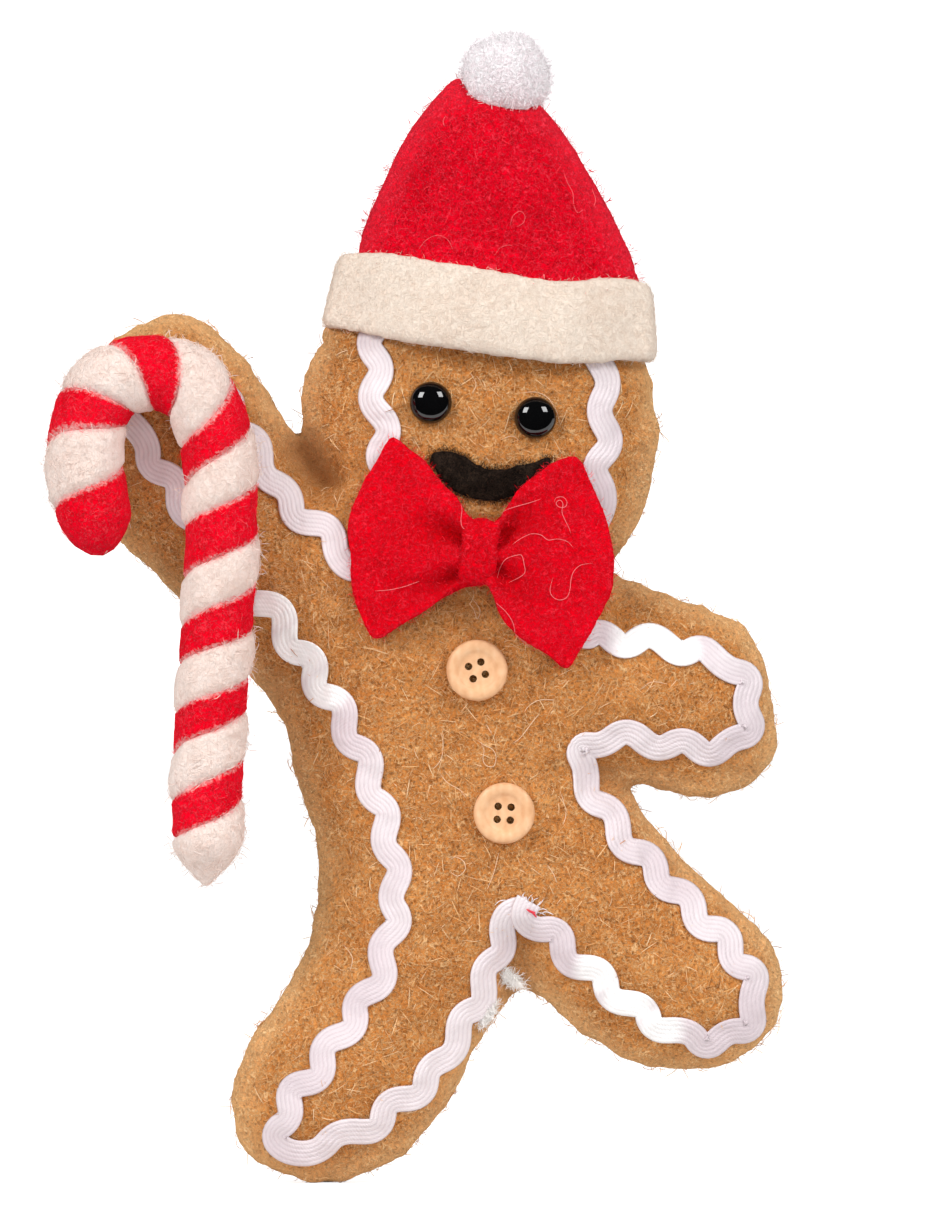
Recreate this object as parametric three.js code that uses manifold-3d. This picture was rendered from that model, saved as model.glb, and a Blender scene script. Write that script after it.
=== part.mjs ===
// A hanging gingerbread ornament: two felt panels glued at their edges round soft stuffing, with rick-rack
// trim, glossy domed eyes, a felted mouth, wooden buttons, a pinched felt bow, a felt hat with a brim and a
// pompom, and a candy cane of wool wound round a wire. Millimetres, +Z up, the face looks along -Y, and the
// origin is the hanging point at the top of the pompom.
import * as THREE from "three";
import { mergeVertices } from "three/addons/utils/BufferGeometryUtils.js";
import Module from "manifold-3d";

const wasm = await Module();
wasm.setup();

// Overall size, from the cane's hook to the right foot and from the left foot to the pompom
const ornamentWidth = 148;
const ornamentHeight = 230;

// Fits: the gap between pieces that touch, and how far a cutter runs past what it cuts
const clearance = 0.3;
const cutOverrun = 30;

// Felt figure: two panels that meet at a glued seam and swell over the stuffing
const felt = 2.4;
const seamWidth = 4;
const seamHalfDepth = 3.5;
const frontCrown = 13.5;
const frontRise = 22;
const backCrown = 10.5;
const backRise = 17;
const cavitySlopeShare = 1.2;
const sheetCell = 7.5;

// Hat
const hatFelt = 2;
const hatSeamHalfDepth = 2.6;
const hatCrown = 10.5;
const hatRise = 16;
const brimFelt = 2;
const pompomWidth = 18.4;
const pompomHeight = 16.6;
const pompomDepth = 17;

// Face and buttons
const eyeDiameter = 8.4;
const eyeHeight = 3.4;
const eyeEdge = 0.7;
const eyeStemDiameter = 2;
const mouthDepth = 1.2;
const buttonDiameter = 12.2;
const buttonDepth = 2.6;
const buttonChamfer = 0.7;
const dishDiameter = 7.2;
const dishDepth = 0.8;
const dishSlope = 0.7;
const buttonHole = 1.5;
const buttonHoleSpacing = 2.6;

// Rick-rack trim
const trimWidth = 5.4;
const trimDepth = 0.9;
const trimClearance = 0.3;
const wavePitch = 11.5;
const waveSwing = 1.5;
const stepsPerWave = 6;

// Bow
const bowFelt = 1.8;
const knotWidth = 5.6;
const knotHeight = 13.6;
const knotDepth = 8.4;
const knotWall = 1.2;
const bowPuff = 2.6;
const pleatDepth = 0.6;
const pleatGrowth = 8;
const wingEdgeLift = 0.4;
const wingBulge = 7.8;

// Candy cane
const woolRadius = 7.9;
const stripeRadius = 7.3;
const grooveRadius = 5.8;
const stripeSideGap = 0.9;
const stripeFloorGap = 0.35;
const twistPitch = 18.6;
const firstBand = 16.2;
const stepsPerTurn = 8;
const shaftTaper = 9;
const shaftTipShare = 0.35;
const hookTaper = 8;
const hookTipShare = 0.4;
const caneSettle = 1.3;
const wireDiameter = 1.5;
const wireInset = 1.2;

// Places and outlines, read by eye as pixels of a 940 by 1215 picture of the front, x to the right and y
// down. In it the ornament reaches from the left pixel to the right one and from the top to the foot.
const ornamentPixels = { left: 43, right: 782, top: 32, foot: 1180 };
const neckSidePixels = [[610, 557], [626, 538], [641, 516], [651, 477], [657, 440], [652, 405], [647, 372]];
const headPixels = [
  [640, 352], [636, 319], [608, 268], [555, 234], [485, 224], [415, 236], [362, 272], [341, 330], [318, 352],
  [306, 376], [302, 406], [308, 452],
];
const raisedArmPixels = [
  [286, 427], [263, 391], [239, 357], [207, 327], [171, 315], [133, 329], [103, 362], [88, 415], [93, 478],
  [117, 531], [172, 589], [222, 640], [260, 686], [287, 720],
];
const leftLegPixels = [
  [295, 765], [303, 797], [317, 837], [321, 881], [312, 934], [290, 988], [254, 1040], [234, 1093],
  [243, 1143], [283, 1171], [332, 1180], [388, 1162], [428, 1125], [459, 1080], [483, 1030], [519, 983],
];
const rightLegPixels = [
  [548, 1001], [580, 1028], [621, 1053], [665, 1067], [712, 1066], [750, 1049], [774, 1027], [782, 990],
  [775, 954], [749, 922], [707, 884], [669, 847], [641, 813], [621, 780],
];
const loweredArmPixels = [
  [648, 782], [692, 795], [736, 788], [764, 768], [776, 734], [769, 694], [758, 652], [741, 627], [711, 612],
  [660, 595], [618, 580], [603, 568],
];
const hatSidePixels = [
  [637, 277], [600, 198], [563, 137], [532, 101], [500, 79], [462, 80], [446, 90], [407, 140], [378, 202],
  [360, 252],
];
const hatBasePixels = { left: 350, right: 636, top: 313, hem: 306, bottom: 400 };
const brimCornerPixels = {
  topLeft: [342, 250], topRight: [650, 281], bottomRight: [656, 367], bottomLeft: [321, 331],
};
const brimTopPixels = [[400, 257], [480, 271], [560, 282]];
const brimBottomPixels = [[560, 366], [480, 356], [400, 343]];
const brimCornerShare = 0.1;
const torsoPlugPixels = { centre: [470, 735], radii: [190, 235] };
const headPlugPixels = { centre: [480, 380], radii: [200, 185] };
const limbBoxPixels = {
  raised_arm_stuffing: { low: [43, 720], high: [450, 296] },
  lowered_arm_stuffing: { low: [560, 788], high: [782, 490] },
  left_leg_stuffing: { low: [43, 1180], high: [526, 847] },
  right_leg_stuffing: { low: [528, 1180], high: [782, 792] },
};
const eyePixels = { left_eye: [431, 404], right_eye: [535, 419] };
const mouthTopPixels = [[434, 454], [458, 455], [490, 472], [525, 466], [550, 459]];
const mouthBottomPixels = [[534, 481], [505, 498], [476, 499], [450, 487], [431, 464]];
const buttonPixels = { upper_button: [477, 670], lower_button: [504, 812] };
const buttonTurns = { upper_button: -20, lower_button: 5 };
const pompomPixel = [506, 74];
const knotPixel = [474, 552];
const knotTilt = -7;
const bowTopPixels = [[393, 437], [432, 463], [457, 532], [491, 532], [517, 492], [573, 455]];
const bowBottomPixels = [[377, 640], [428, 610], [457, 572], [491, 572], [508, 626], [567, 668]];
const pinchShare = 0.22;
const leftTrimPixels = [
  [373, 338], [377, 390], [381, 440], [389, 485], [386, 528], [366, 553], [341, 546], [313, 523], [290, 500],
  [267, 466], [250, 432], [236, 402], [206, 374], [168, 368], [142, 390], [138, 425], [150, 453], [164, 480],
  [187, 515], [215, 557], [250, 595], [285, 630], [316, 679], [345, 728], [370, 778], [386, 828], [394, 880],
  [395, 935], [378, 975], [355, 1015], [322, 1060], [290, 1104], [278, 1133], [292, 1150], [325, 1144],
  [362, 1128], [400, 1103], [432, 1070], [460, 1037], [482, 990], [497, 952], [508, 920],
];
const rightTrimPixels = [
  [539, 924], [566, 947], [586, 967], [607, 986], [628, 1004], [652, 1019], [680, 1034], [710, 1041],
  [740, 1030], [753, 1004], [750, 975], [732, 948], [712, 926], [694, 908], [675, 888], [657, 870],
  [638, 850], [620, 830], [603, 807], [588, 784], [583, 755], [612, 742], [655, 743], [697, 748],
  [735, 740], [750, 710], [744, 678], [715, 658], [680, 648], [640, 643], [600, 630], [582, 606],
  [577, 572], [588, 530], [600, 490], [604, 455], [604, 420], [602, 385], [598, 366],
];
const canePixels = [
  [208, 881], [209, 838], [209, 778], [211, 719], [217, 660], [220, 600], [223, 551], [223, 501], [220, 455],
  [212, 420], [193, 391], [165, 377], [135, 377], [109, 392], [93, 420], [88, 458], [94, 502], [106, 556],
];

// Counts of facets along curves and round sections
const outlineSegments = 2;
const roundSegments = 18;
const domeSegments = 4;
const holeSegments = 8;
const bowColumns = 14;
const bowRows = 8;
const grooveSegments = 3;
const woolSegments = 4;
const wireSegments = 6;
const wireSteps = 28;
const wavesPerPiece = 2;
const feltSamples = 8;
const stepShares = [-0.6, -0.3, 0, 0.3, 0.6];

const colours = {
  felt: 0xc98a53, stuffing: 0xf3ede2, red: 0xdc1428, bow: 0xc8051a, cream: 0xeeddcd, pompom: 0xf5eef2,
  eye: 0x0a0a0b, mouth: 0x251c16, trim: 0xece5ea, wood: 0xeeb790, wire: 0x8a8d92,
};

const ornament = new THREE.Group();
const figure = new THREE.Group();
ornament.add(figure);

// Distances and places in the seam plane, in millimetres from the picture's pixels
function span([across, up]) {
  const { left, right, top, foot } = ornamentPixels;
  return new THREE.Vector2((across / (right - left)) * ornamentWidth, (up / (foot - top)) * ornamentHeight);
}

function place([x, y]) {
  return span([x - ornamentPixels.left, ornamentPixels.foot - y]);
}

function places(pixels) {
  return pixels.map(place);
}

// Meshes and solids

function bareMesh(geometry) {
  const bare = new THREE.BufferGeometry();
  bare.setAttribute("position", geometry.getAttribute("position"));
  bare.setIndex(geometry.getIndex());
  return mergeVertices(bare);
}

function solidOf(geometry) {
  const merged = bareMesh(geometry);
  const vertProperties = new Float32Array(merged.getAttribute("position").array);
  const triVerts = new Uint32Array(merged.getIndex().array);
  return new wasm.Manifold(new wasm.Mesh({ numProp: 3, vertProperties, triVerts }));
}

function geometryOf(solid) {
  const mesh = solid.getMesh();
  const geometry = new THREE.BufferGeometry();
  geometry.setAttribute("position", new THREE.BufferAttribute(mesh.vertProperties, 3));
  geometry.setIndex(new THREE.BufferAttribute(mesh.triVerts, 1));
  return geometry;
}

function addPiece(name, geometry, color, roughness = 0.95) {
  geometry.computeVertexNormals();
  const mesh = new THREE.Mesh(geometry, new THREE.MeshStandardMaterial({ color, roughness, metalness: 0 }));
  mesh.name = name;
  figure.add(mesh);
  return mesh;
}

function geometryFrom(points, triangles) {
  const geometry = new THREE.BufferGeometry().setFromPoints(points);
  geometry.setIndex(triangles);
  return geometry;
}

// Outlines in the XZ plane, extruded along Y

function smoothOutline(start, stretches) {
  const shape = new THREE.Shape();
  shape.moveTo(...place(start));
  stretches.forEach((stretch) => shape.splineThru(places(stretch)));
  return shape;
}

function through(shape, depth = 2 * cutOverrun) {
  const options = { depth, bevelEnabled: false, curveSegments: outlineSegments };
  const geometry = new THREE.ExtrudeGeometry(shape, options);
  geometry.rotateX(Math.PI / 2);
  geometry.translate(0, depth / 2, 0);
  return geometry;
}

function ellipseShape({ centre, radii }, growth = 0) {
  const middle = place(centre);
  const reach = span(radii).addScalar(growth);
  const shape = new THREE.Shape();
  shape.absellipse(middle.x, middle.y, reach.x, reach.y, 0, 2 * Math.PI, false, 0);
  return shape;
}

function boxBetween(low, high) {
  const size = high.clone().sub(low);
  const geometry = new THREE.BoxGeometry(size.x, 2 * cutOverrun, size.y);
  geometry.translate((low.x + high.x) / 2, 0, (low.y + high.y) / 2);
  return geometry;
}

function outlineOf(shape) {
  const { shape: points } = shape.extractPoints(outlineSegments);
  return points.filter((point, index) => !point.equals(points.at(index - 1)));
}

// How far a point lies inside a closed outline, negative outside it
function depthInside(outline, x, z) {
  const point = new THREE.Vector2(x, z);
  const edge = new THREE.Vector2();
  const nearest = new THREE.Vector2();
  let least = Infinity;
  let inside = false;
  outline.forEach((start, index) => {
    const end = outline[(index + 1) % outline.length];
    edge.subVectors(end, start);
    const along = THREE.MathUtils.clamp(nearest.subVectors(point, start).dot(edge) / edge.lengthSq(), 0, 1);
    nearest.copy(start).addScaledVector(edge, along);
    least = Math.min(least, nearest.distanceTo(point));
    const crosses = start.y > z !== end.y > z;
    if (crosses && x < start.x + (edge.x * (z - start.y)) / edge.y) inside = !inside;
  });
  return inside ? least : -least;
}

// Heights over one shared grid, so that stacked sheets never cross
class Relief {
  constructor(heightOver) {
    this.heightOver = heightOver;
    this.nodes = new Map();
  }

  node(i, k) {
    const key = `${i} ${k}`;
    if (!this.nodes.has(key)) this.nodes.set(key, this.heightOver(i * sheetCell, k * sheetCell));
    return this.nodes.get(key);
  }

  at(x, z) {
    const i = Math.floor(x / sheetCell);
    const k = Math.floor(z / sheetCell);
    const across = x / sheetCell - i;
    const up = z / sheetCell - k;
    const far = this.node(i + 1, k + 1);
    const near = this.node(i, k);
    const side = across >= up ? this.node(i + 1, k) : this.node(i, k + 1);
    const [first, second] = across >= up ? [across, up] : [up, across];
    return near + first * (side - near) + second * (far - side);
  }
}

// A closed block between a relief and a flat face. Side -1 faces the viewer and side 1 the back.
function reliefBlock(relief, side, flat, outline) {
  const box = new THREE.Box2().setFromPoints(outline);
  const columns = [Math.floor(box.min.x / sheetCell) - 1, Math.ceil(box.max.x / sheetCell) + 1];
  const rows = [Math.floor(box.min.y / sheetCell) - 1, Math.ceil(box.max.y / sheetCell) + 1];
  const across = columns[1] - columns[0] + 1;
  const points = [];
  for (const isFlat of [false, true]) {
    for (let k = rows[0]; k <= rows[1]; k += 1) {
      for (let i = columns[0]; i <= columns[1]; i += 1) {
        const y = isFlat ? flat : side * relief.node(i, k);
        points.push(new THREE.Vector3(i * sheetCell, y, k * sheetCell));
      }
    }
  }
  const behind = points.length / 2;
  const corner = (i, k) => (k - rows[0]) * across + (i - columns[0]);
  const triangles = [];
  const add = (a, b, c) => triangles.push(...(side < 0 ? [a, b, c] : [a, c, b]));
  const wall = (from, to) => {
    add(to, from, from + behind);
    add(to, from + behind, to + behind);
  };
  for (let k = rows[0]; k < rows[1]; k += 1) {
    for (let i = columns[0]; i < columns[1]; i += 1) {
      const [a, b, c, d] = [corner(i, k), corner(i + 1, k), corner(i + 1, k + 1), corner(i, k + 1)];
      add(a, b, c);
      add(a, c, d);
      add(a + behind, c + behind, b + behind);
      add(a + behind, d + behind, c + behind);
      if (k === rows[0]) wall(a, b);
      if (i === columns[1] - 1) wall(b, c);
      if (k === rows[1] - 1) wall(c, d);
      if (i === columns[0]) wall(d, a);
    }
  }
  return solidOf(geometryFrom(points, triangles));
}

// Felt figure

const figureShape = smoothOutline(loweredArmPixels.at(-1), [
  [...neckSidePixels, ...headPixels],
  [...raisedArmPixels, ...leftLegPixels],
  rightLegPixels,
  loweredArmPixels,
]);
const figureOutline = outlineOf(figureShape);

function swell(distance, edge, crown, rise) {
  const reach = THREE.MathUtils.clamp(distance / rise, -1, 1);
  return edge + (crown - edge) * Math.sin((reach * Math.PI) / 2);
}

function figureRelief(crown, rise) {
  return new Relief((x, z) => swell(depthInside(figureOutline, x, z), seamHalfDepth, crown, rise));
}

function cavityRelief(outer, outline, thickness) {
  return new Relief((x, z) => Math.min(
    outer.at(x, z) - thickness,
    (depthInside(outline, x, z) - seamWidth) * cavitySlopeShare,
  ));
}

const figureFront = figureRelief(frontCrown, frontRise);
const figureBack = figureRelief(backCrown, backRise);
const frontCavity = cavityRelief(figureFront, figureOutline, felt);
const backCavity = cavityRelief(figureBack, figureOutline, felt);

// One side of a pair of panels, from its face down to the seam between them, less the stuffing's hollow
function feltPanel(outer, cavity, side, outline, cutter) {
  const beyondSeam = boxBetween(new THREE.Vector2(), new THREE.Vector2(ornamentWidth, ornamentHeight));
  beyondSeam.translate(0, side * (cutOverrun + clearance / 2), 0);
  const hollow = reliefBlock(cavity, side, -side * cutOverrun, outline);
  const panel = reliefBlock(outer, side, -side * cutOverrun, outline).intersect(cutter);
  return panel.intersect(solidOf(beyondSeam)).subtract(hollow);
}

// A round stem's hole, along Y through the front felt
function stemHole(pixel) {
  const hole = new THREE.CylinderGeometry(
    eyeStemDiameter / 2 + clearance, eyeStemDiameter / 2 + clearance, 2 * cutOverrun, holeSegments,
  );
  const centre = place(pixel);
  hole.translate(centre.x, 0, centre.y);
  return solidOf(hole);
}

function addFeltPanels() {
  const cutter = solidOf(through(figureShape));
  let front = feltPanel(figureFront, frontCavity, -1, figureOutline, cutter);
  Object.values(eyePixels).forEach((pixel) => {
    front = front.subtract(stemHole(pixel));
  });
  addPiece("front_felt", geometryOf(front), colours.felt);
  const back = feltPanel(figureBack, backCavity, 1, figureOutline, cutter);
  addPiece("back_felt", geometryOf(back), colours.felt);
}

// A filling that swells between two cavities, clear of both
function filling(front, back, outline) {
  const loosened = (cavity) => new Relief((x, z) => cavity.at(x, z) - clearance);
  const ahead = reliefBlock(loosened(front), -1, cutOverrun, outline);
  return ahead.intersect(reliefBlock(loosened(back), 1, -cutOverrun, outline));
}

function addStuffing() {
  const whole = filling(frontCavity, backCavity, figureOutline);
  const torso = solidOf(through(ellipseShape(torsoPlugPixels)));
  const torsoRoom = solidOf(through(ellipseShape(torsoPlugPixels, clearance)));
  const head = solidOf(through(ellipseShape(headPlugPixels)));
  const headRoom = solidOf(through(ellipseShape(headPlugPixels, clearance)));
  addPiece("torso_stuffing", geometryOf(whole.intersect(torso)), colours.stuffing);
  addPiece("head_stuffing", geometryOf(whole.intersect(head).subtract(torsoRoom)), colours.stuffing);
  Object.entries(limbBoxPixels).forEach(([name, { low, high }]) => {
    const box = solidOf(boxBetween(place(low), place(high)));
    const limb = whole.intersect(box).subtract(torsoRoom).subtract(headRoom);
    addPiece(name, geometryOf(limb), colours.stuffing);
  });
}

// Hat

const hatShape = smoothOutline([hatBasePixels.right, hatBasePixels.bottom], [[
  [hatBasePixels.right, hatBasePixels.top], ...hatSidePixels,
  [hatBasePixels.left, hatBasePixels.top], [hatBasePixels.left, hatBasePixels.bottom],
]]);
const hatOutline = outlineOf(hatShape);

function hatRelief(figureSide) {
  return new Relief((x, z) => Math.max(
    swell(depthInside(hatOutline, x, z), hatSeamHalfDepth, hatCrown, hatRise),
    figureSide.at(x, z) + clearance + hatFelt,
  ));
}

function hatCavityRelief(outer, figureSide) {
  const hollow = cavityRelief(outer, hatOutline, hatFelt);
  return new Relief((x, z) => Math.max(hollow.at(x, z), figureSide.at(x, z) + clearance));
}

const hatFront = hatRelief(figureFront);
const hatBack = hatRelief(figureBack);

function pompomBall(growth = 0) {
  const ball = new THREE.SphereGeometry(1, roundSegments, 2 * domeSegments);
  ball.rotateX(Math.PI / 2);
  ball.scale(pompomWidth / 2 + growth, pompomDepth / 2 + growth, pompomHeight / 2 + growth);
  const centre = place(pompomPixel);
  ball.translate(centre.x, 0, centre.y);
  return ball;
}

function addHat() {
  const frontHollow = hatCavityRelief(hatFront, figureFront);
  const backHollow = hatCavityRelief(hatBack, figureBack);
  const pompomRoom = solidOf(pompomBall(clearance));
  const aboveHem = (bottom) => solidOf(boxBetween(
    new THREE.Vector2(0, bottom), new THREE.Vector2(ornamentWidth, ornamentHeight),
  ));
  const outline = solidOf(through(hatShape));
  const hem = place([hatBasePixels.left, hatBasePixels.hem]).y;
  const cutter = outline.intersect(aboveHem(hem)).subtract(pompomRoom);
  const front = feltPanel(hatFront, frontHollow, -1, hatOutline, cutter);
  const back = feltPanel(hatBack, backHollow, 1, hatOutline, cutter);
  addPiece("hat_front_felt", geometryOf(front), colours.red);
  addPiece("hat_back_felt", geometryOf(back), colours.red);
  const headTop = Math.max(...figureOutline.map((point) => point.y));
  const fill = filling(frontHollow, backHollow, hatOutline)
    .intersect(outline.intersect(aboveHem(headTop + clearance))).subtract(pompomRoom);
  addPiece("hat_stuffing", geometryOf(fill), colours.stuffing);
  addPiece("pompom", pompomBall(), colours.pompom);
}

// Brim: one felt strip wrapped round the head and the hat's hem

function brimShape() {
  const corners = Object.fromEntries(
    Object.entries(brimCornerPixels).map(([name, pixel]) => [name, place(pixel)]),
  );
  const rounded = (corner, from, to) => [
    corner.clone().lerp(from, brimCornerShare), corner, corner.clone().lerp(to, brimCornerShare),
  ];
  const { topLeft, topRight, bottomRight, bottomLeft } = corners;
  const [firstA, cornerA, lastA] = rounded(topLeft, bottomLeft, topRight);
  const [firstB, cornerB, lastB] = rounded(topRight, topLeft, bottomRight);
  const [firstC, cornerC, lastC] = rounded(bottomRight, topRight, bottomLeft);
  const [firstD, cornerD, lastD] = rounded(bottomLeft, bottomRight, topLeft);
  const shape = new THREE.Shape();
  shape.moveTo(...firstA);
  shape.quadraticCurveTo(...cornerA, ...lastA);
  shape.splineThru([...places(brimTopPixels), firstB]);
  shape.quadraticCurveTo(...cornerB, ...lastB);
  shape.lineTo(...firstC);
  shape.quadraticCurveTo(...cornerC, ...lastC);
  shape.splineThru([...places(brimBottomPixels), firstD]);
  shape.quadraticCurveTo(...cornerD, ...lastD);
  shape.closePath();
  return shape;
}

function brimOpening() {
  const inward = new THREE.Vector2(brimFelt, 0);
  const side = (top, bottom, shift) => {
    const [high, low] = [place(top).add(shift), place(bottom).add(shift)];
    const along = high.clone().sub(low).normalize().multiplyScalar(cutOverrun);
    return [high.add(along), low.sub(along)];
  };
  const [leftHigh, leftLow] = side(brimCornerPixels.topLeft, brimCornerPixels.bottomLeft, inward);
  const outward = inward.clone().negate();
  const [rightHigh, rightLow] = side(brimCornerPixels.topRight, brimCornerPixels.bottomRight, outward);
  return new THREE.Shape([leftHigh, leftLow, rightLow, rightHigh]);
}

function addBrim() {
  const shape = brimShape();
  const outline = outlineOf(shape);
  const under = (hat, body) => new Relief((x, z) => (
    Math.max(hat.at(x, z), body.at(x, z), seamHalfDepth) + clearance
  ));
  const cover = (inner) => new Relief((x, z) => inner.at(x, z) + brimFelt);
  const [insideFront, insideBack] = [under(hatFront, figureFront), under(hatBack, figureBack)];
  const body = reliefBlock(cover(insideFront), -1, 0, outline)
    .add(reliefBlock(cover(insideBack), 1, 0, outline)).intersect(solidOf(through(shape)));
  const hollow = reliefBlock(insideFront, -1, 0, outline).add(reliefBlock(insideBack, 1, 0, outline));
  const opening = hollow.intersect(solidOf(through(brimOpening())));
  addPiece("hat_brim", geometryOf(body.subtract(opening)), colours.cream);
}

// Eyes, mouth and buttons sit on the crown of the front felt

function seatOn(mesh, pixel, turn = 0) {
  const centre = place(pixel);
  mesh.position.set(centre.x, -(figureFront.at(centre.x, centre.y) + clearance), centre.y);
  mesh.rotation.y = THREE.MathUtils.degToRad(turn);
}

function eyeGeometry() {
  const radius = eyeDiameter / 2;
  const dome = Array.from({ length: domeSegments + 1 }, (unused, step) => {
    const angle = (step / domeSegments) * (Math.PI / 2);
    return new THREE.Vector2(radius * Math.cos(angle), eyeEdge + (eyeHeight - eyeEdge) * Math.sin(angle));
  });
  dome.at(-1).x = 0;
  const stem = eyeStemDiameter / 2;
  const profile = [
    new THREE.Vector2(0, -felt), new THREE.Vector2(stem, -felt), new THREE.Vector2(stem, 0),
    new THREE.Vector2(radius, 0), ...dome,
  ];
  const geometry = new THREE.LatheGeometry(profile, roundSegments);
  geometry.rotateX(Math.PI);
  return bareMesh(geometry);
}

function addEyes() {
  Object.entries(eyePixels).forEach(([name, pixel]) => {
    seatOn(addPiece(name, eyeGeometry(), colours.eye, 0.06), pixel);
  });
}

function addMouth() {
  const corner = mouthTopPixels[0];
  const shape = smoothOutline(corner, [mouthTopPixels.slice(1), mouthBottomPixels, [corner]]);
  const middle = place(mouthTopPixels[2]);
  const geometry = bareMesh(through(shape, mouthDepth));
  geometry.translate(0, -(figureFront.at(middle.x, middle.y) + clearance + mouthDepth / 2), 0);
  addPiece("mouth", geometry, colours.mouth);
}

function buttonSolid() {
  const radius = buttonDiameter / 2;
  const dish = dishDiameter / 2;
  const profile = [
    [0, 0], [radius - buttonChamfer, 0], [radius, buttonChamfer], [radius, buttonDepth - buttonChamfer],
    [radius - buttonChamfer, buttonDepth], [dish + dishSlope, buttonDepth], [dish, buttonDepth - dishDepth],
    [0, buttonDepth - dishDepth],
  ].map(([x, y]) => new THREE.Vector2(x, y));
  let button = solidOf(new THREE.LatheGeometry(profile, roundSegments));
  for (const x of [-1, 1]) {
    for (const z of [-1, 1]) {
      const hole = new THREE.CylinderGeometry(buttonHole / 2, buttonHole / 2, cutOverrun, holeSegments);
      hole.translate((x * buttonHoleSpacing) / 2, 0, (z * buttonHoleSpacing) / 2);
      button = button.subtract(solidOf(hole));
    }
  }
  return button;
}

function addButtons() {
  Object.entries(buttonPixels).forEach(([name, pixel]) => {
    const geometry = geometryOf(buttonSolid());
    geometry.rotateX(Math.PI);
    seatOn(addPiece(name, geometry, colours.wood, 0.6), pixel, buttonTurns[name]);
  });
}

// Rick-rack: a flat band that waves from side to side along its route and lies on the felt

function spaceCurve(pixels, depth = 0) {
  const points = places(pixels).map((point) => new THREE.Vector3(point.x, depth, point.y));
  return new THREE.CatmullRomCurve3(points);
}

// How far the felt rises above a straight line across it, within a little over half a step along the band
function feltBulge(left, right, alongStep) {
  const shares = Array.from({ length: feltSamples + 1 }, (unused, at) => at / feltSamples);
  const samples = shares.flatMap((share) => stepShares.map((ahead) => {
    const point = left.clone().lerp(right, share).addScaledVector(alongStep, ahead);
    const ends = [left, right].map((end) => figureFront.at(end.x, end.z));
    const chord = THREE.MathUtils.lerp(...ends, share);
    return figureFront.at(point.x, point.z) - chord;
  }));
  return Math.max(0, ...samples);
}

function bandRings(pixels) {
  const route = spaceCurve(pixels);
  const waves = Math.round(route.getLength() / wavePitch);
  const steps = waves * stepsPerWave;
  return Array.from({ length: steps + 1 }, (unused, step) => {
    const centre = route.getPointAt(step / steps);
    const tangent = route.getTangentAt(step / steps);
    const across = new THREE.Vector3(-tangent.z, 0, tangent.x);
    const swing = waveSwing * Math.sin((2 * Math.PI * step) / stepsPerWave);
    const edges = [-trimWidth / 2, trimWidth / 2].map((offset) => (
      centre.clone().addScaledVector(across, swing + offset)
    ));
    const bulge = feltBulge(...edges, tangent.multiplyScalar(route.getLength() / steps));
    return edges.flatMap((point) => [0, trimDepth].map((rise) => {
      const y = -(figureFront.at(point.x, point.z) + bulge + trimClearance + rise);
      return new THREE.Vector3(point.x, y, point.z);
    }));
  });
}

// Joins rings of points, each in the same order round its section, into one closed skin of four-sided cells.
// From a given corner on, cells are split along their other diagonal, so that a nested skin can match them.
function skin(rings, order, capTriangles, otherFrom = Infinity) {
  const size = rings[0].length;
  const points = rings.flat();
  const triangles = [];
  for (let ring = 0; ring < rings.length - 1; ring += 1) {
    order.forEach((corner, index) => {
      const next = order[(index + 1) % order.length];
      const [a, b] = [ring * size + corner, ring * size + next];
      const [c, d] = [b + size, a + size];
      triangles.push(...(index < otherFrom ? [a, b, d, b, c, d] : [a, b, c, a, c, d]));
    });
  }
  const last = (rings.length - 1) * size;
  capTriangles.forEach(([a, b, c]) => triangles.push(a, c, b, last + a, last + b, last + c));
  return geometryFrom(points, triangles);
}

function rickRack(pixels) {
  const rings = bandRings(pixels);
  const length = wavesPerPiece * stepsPerWave;
  let band = null;
  for (let start = 0; start < rings.length - 1; start += length) {
    const stretch = rings.slice(start, start + length + 1);
    const piece = solidOf(skin(stretch, [0, 2, 3, 1], [[0, 2, 3], [0, 3, 1]]));
    band = band ? band.add(piece) : piece;
  }
  return band;
}

function addTrims() {
  addPiece("left_trim", geometryOf(rickRack(leftTrimPixels)), colours.trim, 0.7);
  addPiece("right_trim", geometryOf(rickRack(rightTrimPixels)), colours.trim, 0.7);
}

// Bow: a felt strip pinched to pleats inside a wrapped knot, clear of the mouth and the trims

const bowBack = frontCrown + Math.max(trimDepth + trimClearance, mouthDepth + clearance) + clearance;
const bowMiddle = bowBack + knotDepth / 2;

function bowPoint(top, bottom, across, up, front) {
  const wing = Math.abs(2 * across - 1);
  const point = bottom.getPoint(across).lerp(top.getPoint(across), up);
  const bulge = wingBulge * Math.sin(Math.PI * up) * wing ** 3;
  point.x += Math.sign(across - 0.5) * bulge;
  const spread = Math.max(0, (wing - pinchShare) / (1 - pinchShare));
  const pinched = (knotDepth - bowFelt) / 2;
  const lift = THREE.MathUtils.lerp(pinched, wingEdgeLift, spread) + bowPuff * Math.sin(Math.PI * spread);
  const pleat = pleatDepth * (1 - spread) * (1 + pleatGrowth * spread) * Math.cos(4 * Math.PI * (up - 0.5));
  return new THREE.Vector3(point.x, -(bowBack + lift + pleat + (front ? bowFelt : 0)), point.y);
}

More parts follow.
